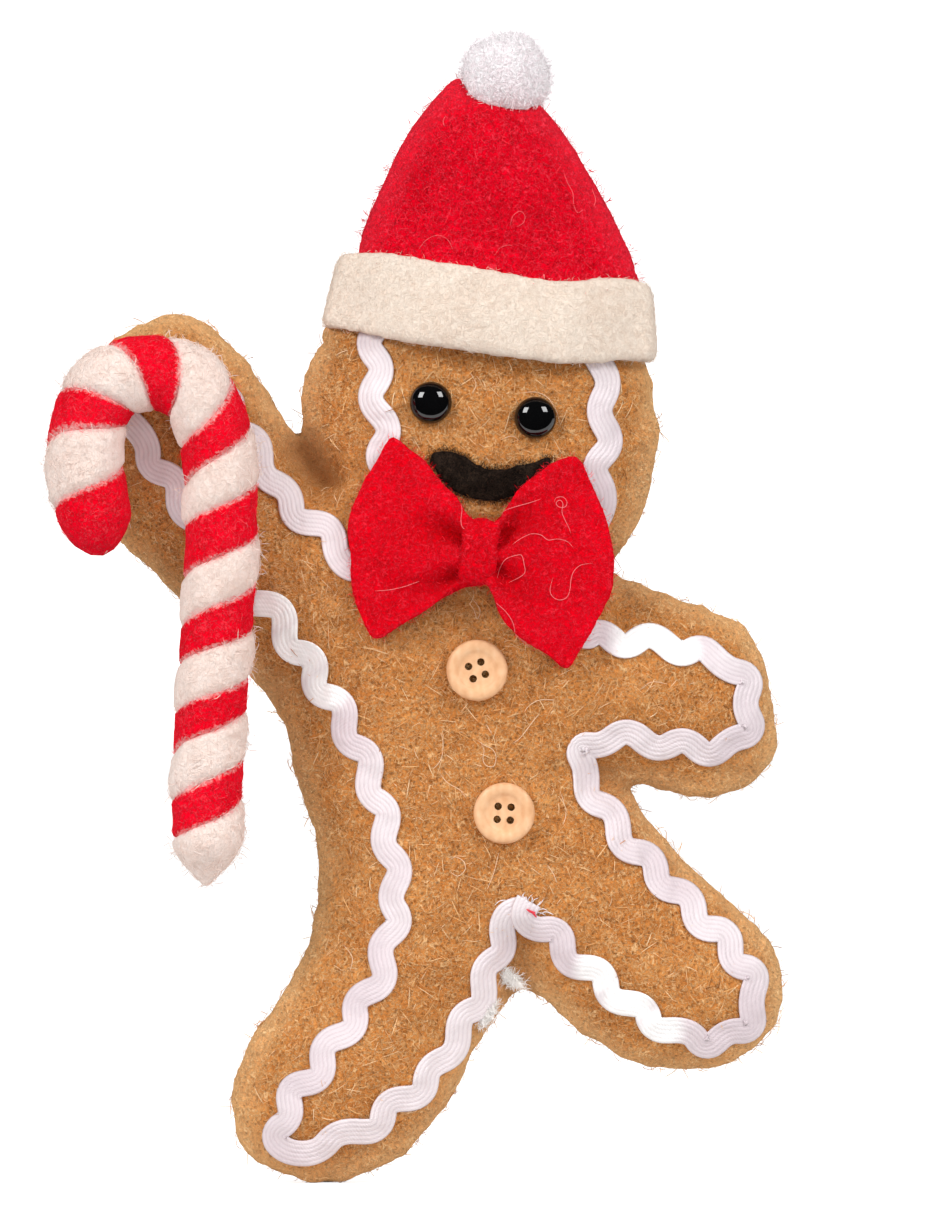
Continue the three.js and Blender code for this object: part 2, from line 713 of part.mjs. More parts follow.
function addBow() {
  const top = new THREE.SplineCurve(places(bowTopPixels));
  const bottom = new THREE.SplineCurve(places(bowBottomPixels));
  const rings = Array.from({ length: bowColumns + 1 }, (unused, column) => (
    [false, true].flatMap((front) => Array.from({ length: bowRows + 1 }, (alsoUnused, row) => (
      bowPoint(top, bottom, column / bowColumns, row / bowRows, front)
    )))
  ));
  const face = bowRows + 1;
  const fronts = Array.from({ length: face }, (unused, row) => row);
  const order = [...fronts, ...fronts.map((row) => row + face).reverse()];
  const caps = fronts.slice(1).flatMap((row) => [
    [row - 1, row, row + face],
    [row - 1, row + face, row - 1 + face],
  ]);
  addPiece("bow", skin(rings, order, caps), colours.bow);
}

function addKnot() {
  const ring = (shrink) => {
    const path = new THREE.Path();
    path.absellipse(0, 0, knotDepth / 2 - shrink, knotHeight / 2 - shrink, 0, 2 * Math.PI, false, 0);
    return path.getPoints(roundSegments / 2).slice(1);
  };
  const shape = new THREE.Shape(ring(0));
  shape.holes.push(new THREE.Path(ring(knotWall)));
  const geometry = new THREE.ExtrudeGeometry(shape, { depth: knotWidth, bevelEnabled: false });
  geometry.translate(0, 0, -knotWidth / 2);
  geometry.rotateX(Math.PI / 2);
  geometry.rotateZ(Math.PI / 2);
  const mesh = addPiece("bow_knot", bareMesh(geometry), colours.bow);
  const centre = place(knotPixel);
  mesh.position.set(centre.x, -bowMiddle, centre.y);
  mesh.rotation.y = THREE.MathUtils.degToRad(-knotTilt);
}

// Candy cane: white wool with a helical groove, red wool wound in the groove and a bent wire down the middle

const caneMiddle = frontCrown + trimClearance + trimDepth + clearance + woolRadius - caneSettle;
const caneRoute = spaceCurve(canePixels, -caneMiddle);
const caneLength = caneRoute.getLength();

function caneSwell(distance) {
  const fromTip = THREE.MathUtils.clamp(distance / shaftTaper, 0, 1);
  const fromHook = THREE.MathUtils.clamp((caneLength - distance) / hookTaper, 0, 1);
  const shaftShare = THREE.MathUtils.lerp(shaftTipShare, 1, Math.sin((fromTip * Math.PI) / 2));
  return shaftShare * THREE.MathUtils.lerp(hookTipShare, 1, Math.sqrt(fromHook * (2 - fromHook)));
}

// A section across the cane, given as angles and radii, with an end's centre shifted along the route
function caneRing(share, section, twist, shift = 0) {
  const tangent = caneRoute.getTangentAt(share);
  const centre = caneRoute.getPointAt(share).addScaledVector(tangent, shift);
  const across = new THREE.Vector3(-tangent.z, 0, tangent.x);
  const ahead = new THREE.Vector3(0, -1, 0);
  return section.map(([angle, radius]) => centre.clone()
    .addScaledVector(across, radius * Math.cos(angle + twist))
    .addScaledVector(ahead, radius * Math.sin(angle + twist)));
}

// Every ring of the wool and of the stripe lies at the same steps, so that the stripe fits its groove
function caneRings(sectionAt, start = 0) {
  const steps = Math.round((caneLength / twistPitch) * stepsPerTurn);
  const first = Math.ceil((start / caneLength) * steps);
  return Array.from({ length: steps + 1 - first }, (unused, step) => {
    const share = (first + step) / steps;
    const twist = Math.PI / 2 + (2 * Math.PI * (caneLength * share - firstBand)) / twistPitch;
    return caneRing(share, sectionAt(caneSwell(caneLength * share)), twist);
  });
}

function arc(from, to, segments, radius) {
  const step = (to - from) / segments;
  return Array.from({ length: segments + 1 }, (unused, at) => [from + at * step, radius]);
}

const halfGroove = Math.PI / 2;
const grooveGap = stripeSideGap / grooveRadius;

// Fans from the first corner of a section, so each triangle joins it to two neighbours
function fan(size) {
  return Array.from({ length: size - 2 }, (unused, index) => [0, index + 1, index + 2]);
}

function woolSection(share) {
  return [
    ...arc(halfGroove, 2 * Math.PI - halfGroove, woolSegments, woolRadius * share),
    ...arc(-halfGroove, halfGroove, grooveSegments, grooveRadius * share),
  ];
}

function stripeSection(share) {
  const reach = halfGroove - grooveGap;
  const inGroove = ([angle, radius]) => [THREE.MathUtils.clamp(angle, -reach, reach), radius];
  return [
    ...arc(-halfGroove, halfGroove, grooveSegments, stripeRadius * share),
    ...arc(halfGroove, -halfGroove, grooveSegments, grooveRadius * share + stripeFloorGap),
  ].map(inGroove);
}

function ringOrder(section) {
  return section(1).map((unused, index) => index);
}

// The wire, or its bore, whose ends stop short of the cane's tips or run past them
function wireTube(radius, overrun) {
  const section = arc(0, 2 * Math.PI, wireSegments, radius).slice(1);
  const rings = Array.from({ length: wireSteps + 1 }, (unused, step) => {
    const outward = (step === wireSteps) - (step === 0);
    return caneRing(step / wireSteps, section, 0, outward * overrun);
  });
  return skin(rings, section.map((unused, index) => index), fan(wireSegments));
}

function addCane() {
  const wool = solidOf(skin(caneRings(woolSection), ringOrder(woolSection), fan(woolSection(1).length)));
  const bore = solidOf(wireTube(wireDiameter / 2 + clearance, 2 * wireInset));
  addPiece("cane_wool", geometryOf(wool.subtract(bore)), colours.cream);
  const last = stripeSection(1).length - 1;
  const caps = Array.from({ length: grooveSegments }, (unused, index) => [
    [index, index + 1, last - index], [index + 1, last - index - 1, last - index],
  ]).flat();
  const stripe = skin(caneRings(stripeSection, shaftTaper), ringOrder(stripeSection), caps, grooveSegments);
  addPiece("cane_stripe", stripe, colours.red);
  addPiece("cane_wire", wireTube(wireDiameter / 2, -wireInset), colours.wire, 0.4);
}

addFeltPanels();
addStuffing();
addHat();
addBrim();
addEyes();
addMouth();
addButtons();
addTrims();
addBow();
addKnot();
addCane();

const hangingPoint = place(pompomPixel);
figure.position.set(-hangingPoint.x, 0, -(hangingPoint.y + pompomHeight / 2));

export default ornament;
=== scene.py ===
import math

import bmesh
import bpy
from mathutils import Matrix, Vector, noise
from mathutils.bvhtree import BVHTree


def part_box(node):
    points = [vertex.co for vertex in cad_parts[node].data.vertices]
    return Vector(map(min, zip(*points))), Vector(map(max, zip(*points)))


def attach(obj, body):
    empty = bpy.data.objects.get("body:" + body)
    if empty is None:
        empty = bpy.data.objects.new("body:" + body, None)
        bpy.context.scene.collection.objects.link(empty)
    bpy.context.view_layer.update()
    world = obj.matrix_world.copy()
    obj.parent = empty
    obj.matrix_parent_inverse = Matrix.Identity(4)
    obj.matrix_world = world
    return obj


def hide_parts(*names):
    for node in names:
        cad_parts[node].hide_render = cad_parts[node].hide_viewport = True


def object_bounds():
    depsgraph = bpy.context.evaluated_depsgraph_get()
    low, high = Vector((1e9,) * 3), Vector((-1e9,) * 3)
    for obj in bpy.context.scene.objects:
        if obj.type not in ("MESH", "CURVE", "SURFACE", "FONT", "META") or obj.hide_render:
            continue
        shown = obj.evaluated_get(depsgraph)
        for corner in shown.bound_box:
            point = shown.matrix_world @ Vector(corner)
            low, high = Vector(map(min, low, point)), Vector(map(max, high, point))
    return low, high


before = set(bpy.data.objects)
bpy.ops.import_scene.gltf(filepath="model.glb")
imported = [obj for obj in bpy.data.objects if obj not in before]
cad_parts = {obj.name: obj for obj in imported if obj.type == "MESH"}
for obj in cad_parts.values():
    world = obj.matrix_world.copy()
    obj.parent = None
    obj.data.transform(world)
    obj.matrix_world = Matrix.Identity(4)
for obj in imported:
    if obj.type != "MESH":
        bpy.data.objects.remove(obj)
cad_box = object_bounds()

MM = 0.001

# The view: a long lens straight in front of the figure, which hangs from its pompom a hair above a pale
# floor. Two softboxes stand high at either side and leave the pair of glints in the eyes.

PICTURE_HEIGHT = 243.4 * MM
PICTURE_MIDDLE = Vector((-7.2 * MM, 0, -115.2 * MM))
CAMERA_AWAY = 2.4
SENSOR = 36

lens = bpy.data.cameras.new("camera")
lens.sensor_fit = "VERTICAL"
lens.sensor_height = SENSOR
lens.lens = SENSOR * CAMERA_AWAY / PICTURE_HEIGHT
camera = bpy.data.objects.new("camera", lens)
camera.location = PICTURE_MIDDLE + Vector((0, -CAMERA_AWAY, 0))
camera.rotation_euler = (math.radians(90), 0, 0)
bpy.context.scene.collection.objects.link(camera)
bpy.context.scene.camera = camera
bpy.context.scene.view_settings.view_transform = "Standard"


def softbox(name, place, size, watts):
    lamp = bpy.data.lights.new(name, "AREA")
    lamp.shape = "SQUARE"
    lamp.size = size
    lamp.energy = watts
    box = bpy.data.objects.new(name, lamp)
    box.location = place
    box.rotation_euler = (PICTURE_MIDDLE - Vector(place)).to_track_quat("-Z", "Y").to_euler()
    bpy.context.scene.collection.objects.link(box)
    return box


softbox("left_softbox", (-0.85, -0.86, 0.62), 0.52, 10.6)
softbox("right_softbox", (0.80, -0.84, 0.66), 0.52, 9.1)
softbox("front_fill", (0.10, -1.7, -0.20), 1.2, 5.6).visible_glossy = False

world = bpy.data.worlds.new("studio")
bpy.context.scene.world = world
world.use_nodes = True
air = world.node_tree.nodes["Background"]
air.inputs["Color"].default_value = (1.0, 0.985, 0.97, 1)
air.inputs["Strength"].default_value = 0.42
world.cycles_visibility.glossy = False


def white_to_camera(name, lift):
    """A pale matt surface that shows as white in the picture and in reflections, and keeps a shadow."""
    material = bpy.data.materials.new(name)
    material.use_nodes = True
    nodes, links = material.node_tree.nodes, material.node_tree.links
    matt = nodes["Principled BSDF"]
    matt.inputs["Base Color"].default_value = (0.86, 0.86, 0.86, 1)
    matt.inputs["Roughness"].default_value = 1
    rays = nodes.new("ShaderNodeLightPath").outputs
    glow = nodes.new("ShaderNodeEmission")
    both = nodes.new("ShaderNodeAddShader")
    seen, also, strength = [nodes.new("ShaderNodeMath") for step in range(3)]
    seen.operation = also.operation = "MAXIMUM"
    strength.operation = "MULTIPLY"
    strength.inputs[1].default_value = lift
    for start, end in (
        (rays["Is Camera Ray"], seen.inputs[0]),
        (rays["Is Glossy Ray"], seen.inputs[1]),
        (seen.outputs[0], also.inputs[0]),
        (rays["Is Transmission Ray"], also.inputs[1]),
        (also.outputs[0], strength.inputs[0]),
        (strength.outputs[0], glow.inputs["Strength"]),
        (matt.outputs[0], both.inputs[0]),
        (glow.outputs[0], both.inputs[1]),
        (both.outputs[0], nodes["Material Output"].inputs["Surface"]),
    ):
        links.new(start, end)
    return material


def new_piece(name, mesh):
    piece = bpy.data.objects.new(name, mesh)
    bpy.context.scene.collection.objects.link(piece)
    return piece


def from_bmesh(name, shape):
    mesh = bpy.data.meshes.new(name)
    shape.to_mesh(mesh)
    shape.free()
    return new_piece(name, mesh)


def stage_sheet(name, corners, lift):
    shape = bmesh.new()
    shape.faces.new([shape.verts.new(corner) for corner in corners])
    sheet = from_bmesh(name, shape)
    sheet.data.materials.append(white_to_camera(name, lift))


FLOOR = cad_box[0][2] - 0.6 * MM
FLOOR_FRONT = -0.135
FLOOR_BACK = 8
BACKDROP_TOP = 8
SIDE = 6
FAR_EDGE = [(-SIDE, FLOOR_BACK, FLOOR), (SIDE, FLOOR_BACK, FLOOR)]
stage_sheet("floor", [(-SIDE, FLOOR_FRONT, FLOOR), (SIDE, FLOOR_FRONT, FLOOR), *FAR_EDGE[::-1]], 0.8)
TOP_EDGE = [(SIDE, FLOOR_BACK, BACKDROP_TOP), (-SIDE, FLOOR_BACK, BACKDROP_TOP)]
stage_sheet("backdrop", FAR_EDGE + TOP_EDGE, 1.0)

# Felt figure: a front and a back panel of thick brown wool felt over the stuffing, glued edge to edge. The
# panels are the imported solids, made fine and soft, then dented where the real one is pulled in.


def srgb(red, green, blue):
    def linear(level):
        level /= 255
        return level / 12.92 if level <= 0.04045 else ((level + 0.055) / 1.055) ** 2.4
    return (linear(red), linear(green), linear(blue), 1)


class Shader:
    """Short calls for the nodes of the felts, the wools and the other materials."""

    def __init__(self, name):
        self.material = bpy.data.materials.new(name)
        self.material.use_nodes = True
        self.nodes = self.material.node_tree.nodes
        self.links = self.material.node_tree.links
        self.matt = self.nodes["Principled BSDF"]
        self.place = self.nodes.new("ShaderNodeTexCoord").outputs["Object"]

    def feed(self, socket, value):
        if isinstance(value, bpy.types.NodeSocket):
            self.links.new(value, socket)
        else:
            socket.default_value = value

    def set(self, **values):
        """Feeds the surface's inputs, named with an underscore for each space."""
        for name, value in values.items():
            self.feed(self.matt.inputs[name.replace("_", " ")], value)

    def attribute(self, name):
        node = self.nodes.new("ShaderNodeAttribute")
        node.attribute_name = name
        return node.outputs["Fac"]

    def texture(self, kind, size, shift):
        """A texture whose features are about size across, on places moved by shift."""
        moved = self.nodes.new("ShaderNodeMapping")
        moved.inputs["Location"].default_value = (shift, shift, shift)
        self.feed(moved.inputs["Vector"], self.place)
        node = self.nodes.new(kind)
        self.feed(node.inputs["Vector"], moved.outputs[0])
        node.inputs["Scale"].default_value = 1 / size
        return node

    def noise(self, size, detail=2.0, distortion=0.0, shift=0.0):
        node = self.texture("ShaderNodeTexNoise", size, shift)
        node.inputs["Detail"].default_value = detail
        node.inputs["Distortion"].default_value = distortion
        return node.outputs["Fac"]

    def math(self, operation, first, second=0.0, clamp=False):
        node = self.nodes.new("ShaderNodeMath")
        node.operation = operation
        node.use_clamp = clamp
        self.feed(node.inputs[0], first)
        self.feed(node.inputs[1], second)
        return node.outputs[0]

    def total(self, *shares):
        """The sum of values, each times its weight."""
        total, *others = [self.math("MULTIPLY", value, weight) for value, weight in shares]
        for other in others:
            total = self.math("ADD", total, other)
        return total

    def ramp(self, value, stops):
        node = self.nodes.new("ShaderNodeValToRGB")
        self.feed(node.inputs["Fac"], value)
        elements = node.color_ramp.elements
        while len(elements) < len(stops):
            elements.new(0.5)
        for element, (at, colour) in zip(elements, stops):
            element.position = at
            element.color = colour
        return node.outputs["Color"]

    def tint(self, ground, colour, share, weight=1.0):
        """The ground's colour with another mixed in by a share times a weight."""
        node = self.nodes.new("ShaderNodeMix")
        node.data_type = "RGBA"
        self.feed(node.inputs["Factor"], self.math("MULTIPLY", share, weight))
        self.feed(node.inputs["A"], ground)
        self.feed(node.inputs["B"], colour)
        return node.outputs["Result"]

    def threads(self, size, width, shift):
        """Fine curling lines, as of fibres lying every way: 1 on a line and 0 away from it."""
        field = self.noise(size, 1.0, 1.6, shift)
        away = self.math("ABSOLUTE", self.math("SUBTRACT", field, 0.5))
        return self.math("SUBTRACT", 1.0, self.math("DIVIDE", away, width), clamp=True)

    def bump(self, height, depth):
        node = self.nodes.new("ShaderNodeBump")
        node.inputs["Distance"].default_value = depth
        node.inputs["Strength"].default_value = 1
        self.feed(node.inputs["Height"], height)
        self.set(Normal=node.outputs[0])


def felt(
    name, colours, contrast=1.0, sheen=0.15, pits=0.3, painted_rim_sheen=0, crease_shade=False, relief=0.5, border=None,
):
    """Wool felt: cloudy colour, a wiry mat of fibres lighter and darker than the ground, small dark pits.

    The colours are the ground's dark, middle and light ones, then those of light and of dark fibres.
    The share after pits is a painted rim sheen: how much paler it gets where it turns down to the seam. The
    flag after it paints shade into creases and folds, darker where the piece's attribute for that shade
    says. relief is the mat's depth in millimetres. border is a colour, with its strength, that comes
    through in wisps where the piece's border attribute says.
    """
    dark, middle, light, light_threads, dark_threads = [srgb(*colour) for colour in colours]
    shader = Shader(name)
    clouds = shader.noise(14 * MM, 3)
    clumps = shader.noise(1.3 * MM, 3, 0.9)
    grain = shader.noise(0.5 * MM, 2, 0.6)
    level = shader.total((clouds, 0.30), (clumps, 0.40), (grain, 0.30))
    spread = 0.16 * contrast
    ground = shader.ramp(level, [(0.5 - spread, dark), (0.5, middle), (0.5 + spread, light)])
    coarse, fine = shader.threads(1.9 * MM, 0.035, 0.01), shader.threads(1.3 * MM, 0.040, 0.05)
    pale = shader.math("MAXIMUM", coarse, fine)
    deep = shader.threads(1.6 * MM, 0.035, 0.09)
    wavy = shader.math("MULTIPLY", shader.math("SUBTRACT", grain, 0.5), 0.5)
    dots = shader.texture("ShaderNodeTexVoronoi", 1.0 * MM, 0.13).outputs["Distance"]
    pit = shader.math("SUBTRACT", 0.36, shader.math("ADD", dots, wavy))
    pit = shader.math("MULTIPLY", pit, 4, clamp=True)
    colour = shader.tint(ground, dark_threads, deep, 0.35 * contrast)
    colour = shader.tint(colour, light_threads, pale, 0.45 * contrast)
    colour = shader.tint(colour, dark_threads, pit, pits)
    # Painted rim sheen: the felt is paler the nearer it is to the seam, where it turns away from the front
    if painted_rim_sheen:
        parts = shader.nodes.new("ShaderNodeSeparateXYZ")
        shader.feed(parts.inputs[0], shader.place)
        away = shader.math("DIVIDE", shader.math("ABSOLUTE", parts.outputs["Y"]), 7 * MM)
        near = shader.math("SUBTRACT", 1.0, away, clamp=True)
        colour = shader.tint(colour, light_threads, near, painted_rim_sheen)
    # Painted shade: darker in creases and folds, as far as the piece's attribute for that shade says
    if crease_shade:
        colour = shader.tint(colour, dark, shader.attribute("crease_shade"), 0.8)
    if border:
        other_wool, strength = border
        wisps = shader.math("SUBTRACT", shader.noise(0.8 * MM, 3, 0.8, 0.2), 0.5)
        share = shader.total((shader.attribute("border"), 1.0), (wisps, 1.8))
        share = shader.math("MULTIPLY", shader.math("SUBTRACT", share, 0.45), 1.8, clamp=True)
        colour = shader.tint(colour, srgb(*other_wool), share, strength)
    shader.set(Base_Color=colour, Roughness=0.92, Specular_IOR_Level=0.05)
    shader.set(Sheen_Weight=sheen, Sheen_Roughness=0.5, Sheen_Tint=light)
    shader.bump(shader.total((clumps, 0.5), (grain, 0.4), (pale, 0.25), (pit, -0.6 * pits)), relief * MM)
    return shader.material


def modified(piece, *modifiers):
    """Replaces a piece's mesh by what modifiers make of it, each given by its kind and settings."""
    for kind, settings in modifiers:
        modifier = piece.modifiers.new(kind.lower(), kind)
        for setting, value in settings.items():
            setattr(modifier, setting, value)
    seen = piece.evaluated_get(bpy.context.evaluated_depsgraph_get())
    mesh = bpy.data.meshes.new_from_object(seen)
    piece.modifiers.clear()
    piece.data = mesh
    return piece


def softened(name, nodes, voxel, rounds):
    """One fine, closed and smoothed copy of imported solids, of voxels given in millimetres."""
    shape = bmesh.new()
    for node in nodes:
        shape.from_mesh(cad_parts[node].data)
    bmesh.ops.remove_doubles(shape, verts=shape.verts, dist=0.001 * MM)
    piece = from_bmesh(name, shape)
    modified(
        piece,
        ("REMESH", {"mode": "VOXEL", "voxel_size": voxel * MM}),
        ("SMOOTH", {"factor": 0.5, "iterations": rounds}),
    )
    piece.data.materials.clear()
    return piece


def clamped(value):
    return min(1, max(0, value))


def crown_smoothed(piece, seam, fade, rounds):
    """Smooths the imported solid's facets away, the more the further in front of or behind the seam."""
    group = piece.vertex_groups.new(name="crown")
    for vertex in piece.data.vertices:
        group.add([vertex.index], clamped((abs(vertex.co.y) - seam) / fade), "REPLACE")
    modified(piece, ("SMOOTH", {"factor": 0.6, "iterations": rounds, "vertex_group": "crown"}))
    piece.vertex_groups.clear()


def roughened(piece, lump, lump_size, nap, nap_size, shift=0, swell=0):
    """Moves the surface in and out by lumps and by the felt's nap, and out by swell, all in millimetres.

    A shift, in metres, gives other lumps.
    """
    moves = []
    for vertex in piece.data.vertices:
        place = vertex.co + Vector((shift, 0, shift))
        lumps = lump * MM * noise.noise(place / (lump_size * MM))
        naps = nap * MM * noise.noise(place / (nap_size * MM))
        moves.append(vertex.co + vertex.normal * (swell * MM + lumps + naps))
    for vertex, place in zip(piece.data.vertices, moves):
        vertex.co = place
    piece.data.update()
    piece.data.shade_smooth()


# Places are read as pixels of a picture of the front, x to the right and y down. The picture is this
# wide and high in pixels, and shows what the camera sees.
PICTURE_PIXELS = (940, 1215)
PIXEL = PICTURE_HEIGHT / PICTURE_PIXELS[1]


def seen_at(x, y, ahead=0):
    """The place that a pixel of the picture shows, for what lies so far ahead of the seam."""
    wide, high = PICTURE_PIXELS
    flat = Vector(((x - wide / 2) * PIXEL, 0, (high / 2 - y) * PIXEL)) * (1 - ahead / CAMERA_AWAY)
    return PICTURE_MIDDLE + flat


def flattened(vertex):
    return Vector((vertex.co.x, 0, vertex.co.z))


def softly(away):
    """Falls from 1 at nothing to 0 at one and beyond, with no edge at either end."""
    return 0.5 + 0.5 * math.cos(math.pi * min(1, away))


# How dark the painted crease shade gets for each share of a panel pressed in
SHADE_PER_PRESS = 1.6


def dent(piece, start, end, radius, depth):
    """Presses a soft valley into a panel along a line seen from the front, and notes how deep, for painted
    shade in the crease.
    """
    a, b = seen_at(*start), seen_at(*end)
    line = b - a
    crease_shade = piece.data.attributes.get("crease_shade") or piece.data.attributes.new("crease_shade", "FLOAT", "POINT")
    for vertex, noted in zip(piece.data.vertices, crease_shade.data):
        along = clamped((flattened(vertex) - a).dot(line) / line.length_squared)
        press = depth * softly((flattened(vertex) - a - line * along).length / (radius * MM))
        vertex.co.y *= 1 - press
        noted.value = max(noted.value, min(1, SHADE_PER_PRESS * press))


# Dents as start and end pixels, radius in millimetres and depth: the left and right neck, the armpit, the
# crotch, the raised arm's fold and the crease where the left leg begins
DENTS = [
    ((303, 450), (324, 480), 6.8, 0.64),
    ((610, 567), (590, 560), 8, 0.28),
    ((621, 783), (596, 772), 6, 0.32),
    ((520, 985), (518, 945), 7, 0.32),
    ((262, 700), (300, 672), 9, 0.16),
    ((316, 880), (345, 872), 9, 0.08),
]
# Right under the brim's left end the head is moved outwards, to be as wide as the brim
TEMPLE = seen_at(338, 331)
TEMPLE_REACH = 4.2 * MM
TEMPLE_OUT = 2.4 * MM


# The brown felt has painted light and shade: paler towards the seam as a rim sheen, and darker in the
# dents' creases
brown_felt = felt(
    "brown_felt", [(140, 78, 32), (204, 130, 66), (238, 172, 104), (252, 214, 160), (104, 52, 18)],
    1.4, 0.6, 0.5, 0.68, True,
)


def figure_panel(name, node, voxel):
    panel = softened(name, [node], voxel, 4)
    crown_smoothed(panel, 2.6 * MM, 4 * MM, 70)
    for start, end, radius, depth in DENTS:
        dent(panel, start, end, radius, depth)
    for vertex in panel.data.vertices:
        vertex.co.x -= TEMPLE_OUT * softly((flattened(vertex) - TEMPLE).length / TEMPLE_REACH)
    roughened(panel, 0.7, 11, 0.16, 0.9, swell=0.3)
    roughened(panel, 0.80, 4.6, 0.16, 2.1, shift=0.05)
    panel.data.materials.append(brown_felt)
    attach(panel, "root")
    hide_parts(node)
    return panel


front_panel = figure_panel("front_panel", "front_felt", 0.9)
back_panel = figure_panel("back_panel", "back_felt", 1.1)
front_surface = BVHTree.FromObject(front_panel, bpy.context.evaluated_depsgraph_get())


def front_of(surface, x, z, otherwise=0):
    """Where a surface is met from the front, as its y."""
    hit = surface.ray_cast(Vector((x, -0.1, z)), Vector((0, 1, 0)))[0]
    return hit.y if hit else otherwise


# Loose wool fibres on the felt: each a thin closed strand that starts in the felt and curls over it. They
# are scattered by the surface's area, and those on the edge give the figure its fuzzy outline.


def strand(name, bend, lean, thickness, sideways, steps=4):
    """A closed strand about one unit long that starts at the origin, leans over and curves on."""
    shape = bmesh.new()
    bmesh.ops.create_circle(shape, cap_ends=False, segments=3, radius=thickness)
    turn = math.radians(bend)
    bmesh.ops.spin(
        shape, geom=shape.verts[:] + shape.edges[:], cent=(1 / turn, 0, 0), axis=(0, 1, 0),
        dvec=(0, sideways / steps, 0), angle=turn, steps=steps, use_duplicate=False,
    )
    rings = [shape.verts[at:at + 3] for at in (0, len(shape.verts) - 3)]
    for ring in rings:
        middle = sum((vertex.co for vertex in ring), Vector()) / 3
        bmesh.ops.pointmerge(shape, verts=ring, merge_co=middle)
    bmesh.ops.recalc_face_normals(shape, faces=shape.faces)
    turned_over = Matrix.Rotation(math.radians(lean), 3, "Y")
    bmesh.ops.rotate(shape, cent=(0, 0, 0), matrix=turned_over, verts=shape.verts)
    mesh = bpy.data.meshes.new(name)
    shape.to_mesh(mesh)
    shape.free()
    return bpy.data.objects.new(name, mesh)


LYING = [
    strand("lying_strand", 60, 62, 0.017, 0.12),
    strand("curled_strand", 150, 40, 0.016, -0.10),
    strand("flat_strand", 34, 76, 0.017, 0.20),
]
CURLING = [
    strand("looped_strand", 270, 55, 0.015, 0.10, 7),
    strand("waving_strand", 190, 60, 0.016, -0.22, 6),
    strand("arched_strand", 110, 66, 0.017, 0.16, 5),
]
STANDING = [
    strand("standing_strand", 50, 8, 0.026, 0.15, 3),
    strand("hooked_strand", 120, -12, 0.024, -0.12, 3),
    strand("leaning_strand", 40, 38, 0.026, 0.10, 3),
]


def wire_up(tree, kind, *values, **settings):
    """Makes a geometry node.

    The values go to its first inputs, capitalised settings to the inputs of those names and the others to
    the node itself.
    """
    node = tree.nodes.new(kind)
    for key in filter(str.islower, settings):
        setattr(node, key, settings[key])
    named = [(node.inputs[key.replace("_", " ")], settings[key]) for key in settings if not key.islower()]
    for socket, value in [*zip(node.inputs, values), *named]:
        if isinstance(value, bpy.types.NodeSocket):
            tree.links.new(value, socket)
        else:
            socket.default_value = value
    return node


def random_number(tree, kind, low, high, seed):
    first_input, output = {"FLOAT_VECTOR": (0, 0), "FLOAT": (2, 1), "INT": (4, 2)}[kind]
    node = wire_up(tree, "FunctionNodeRandomValue", data_type=kind, Seed=seed)
    node.inputs[first_input].default_value = low
    node.inputs[first_input + 1].default_value = high
    return node.outputs[output]


def joined(tree, objects, **settings):
    join = tree.nodes.new("GeometryNodeJoinGeometry")
    for each in objects:
        shown = wire_up(tree, "GeometryNodeObjectInfo", Object=each, **settings)
        tree.links.new(shown.outputs["Geometry"], join.inputs[0])
    return join.outputs[0]


BARELY_INWARD = -1e-5
CLEARANCE = 1 * MM


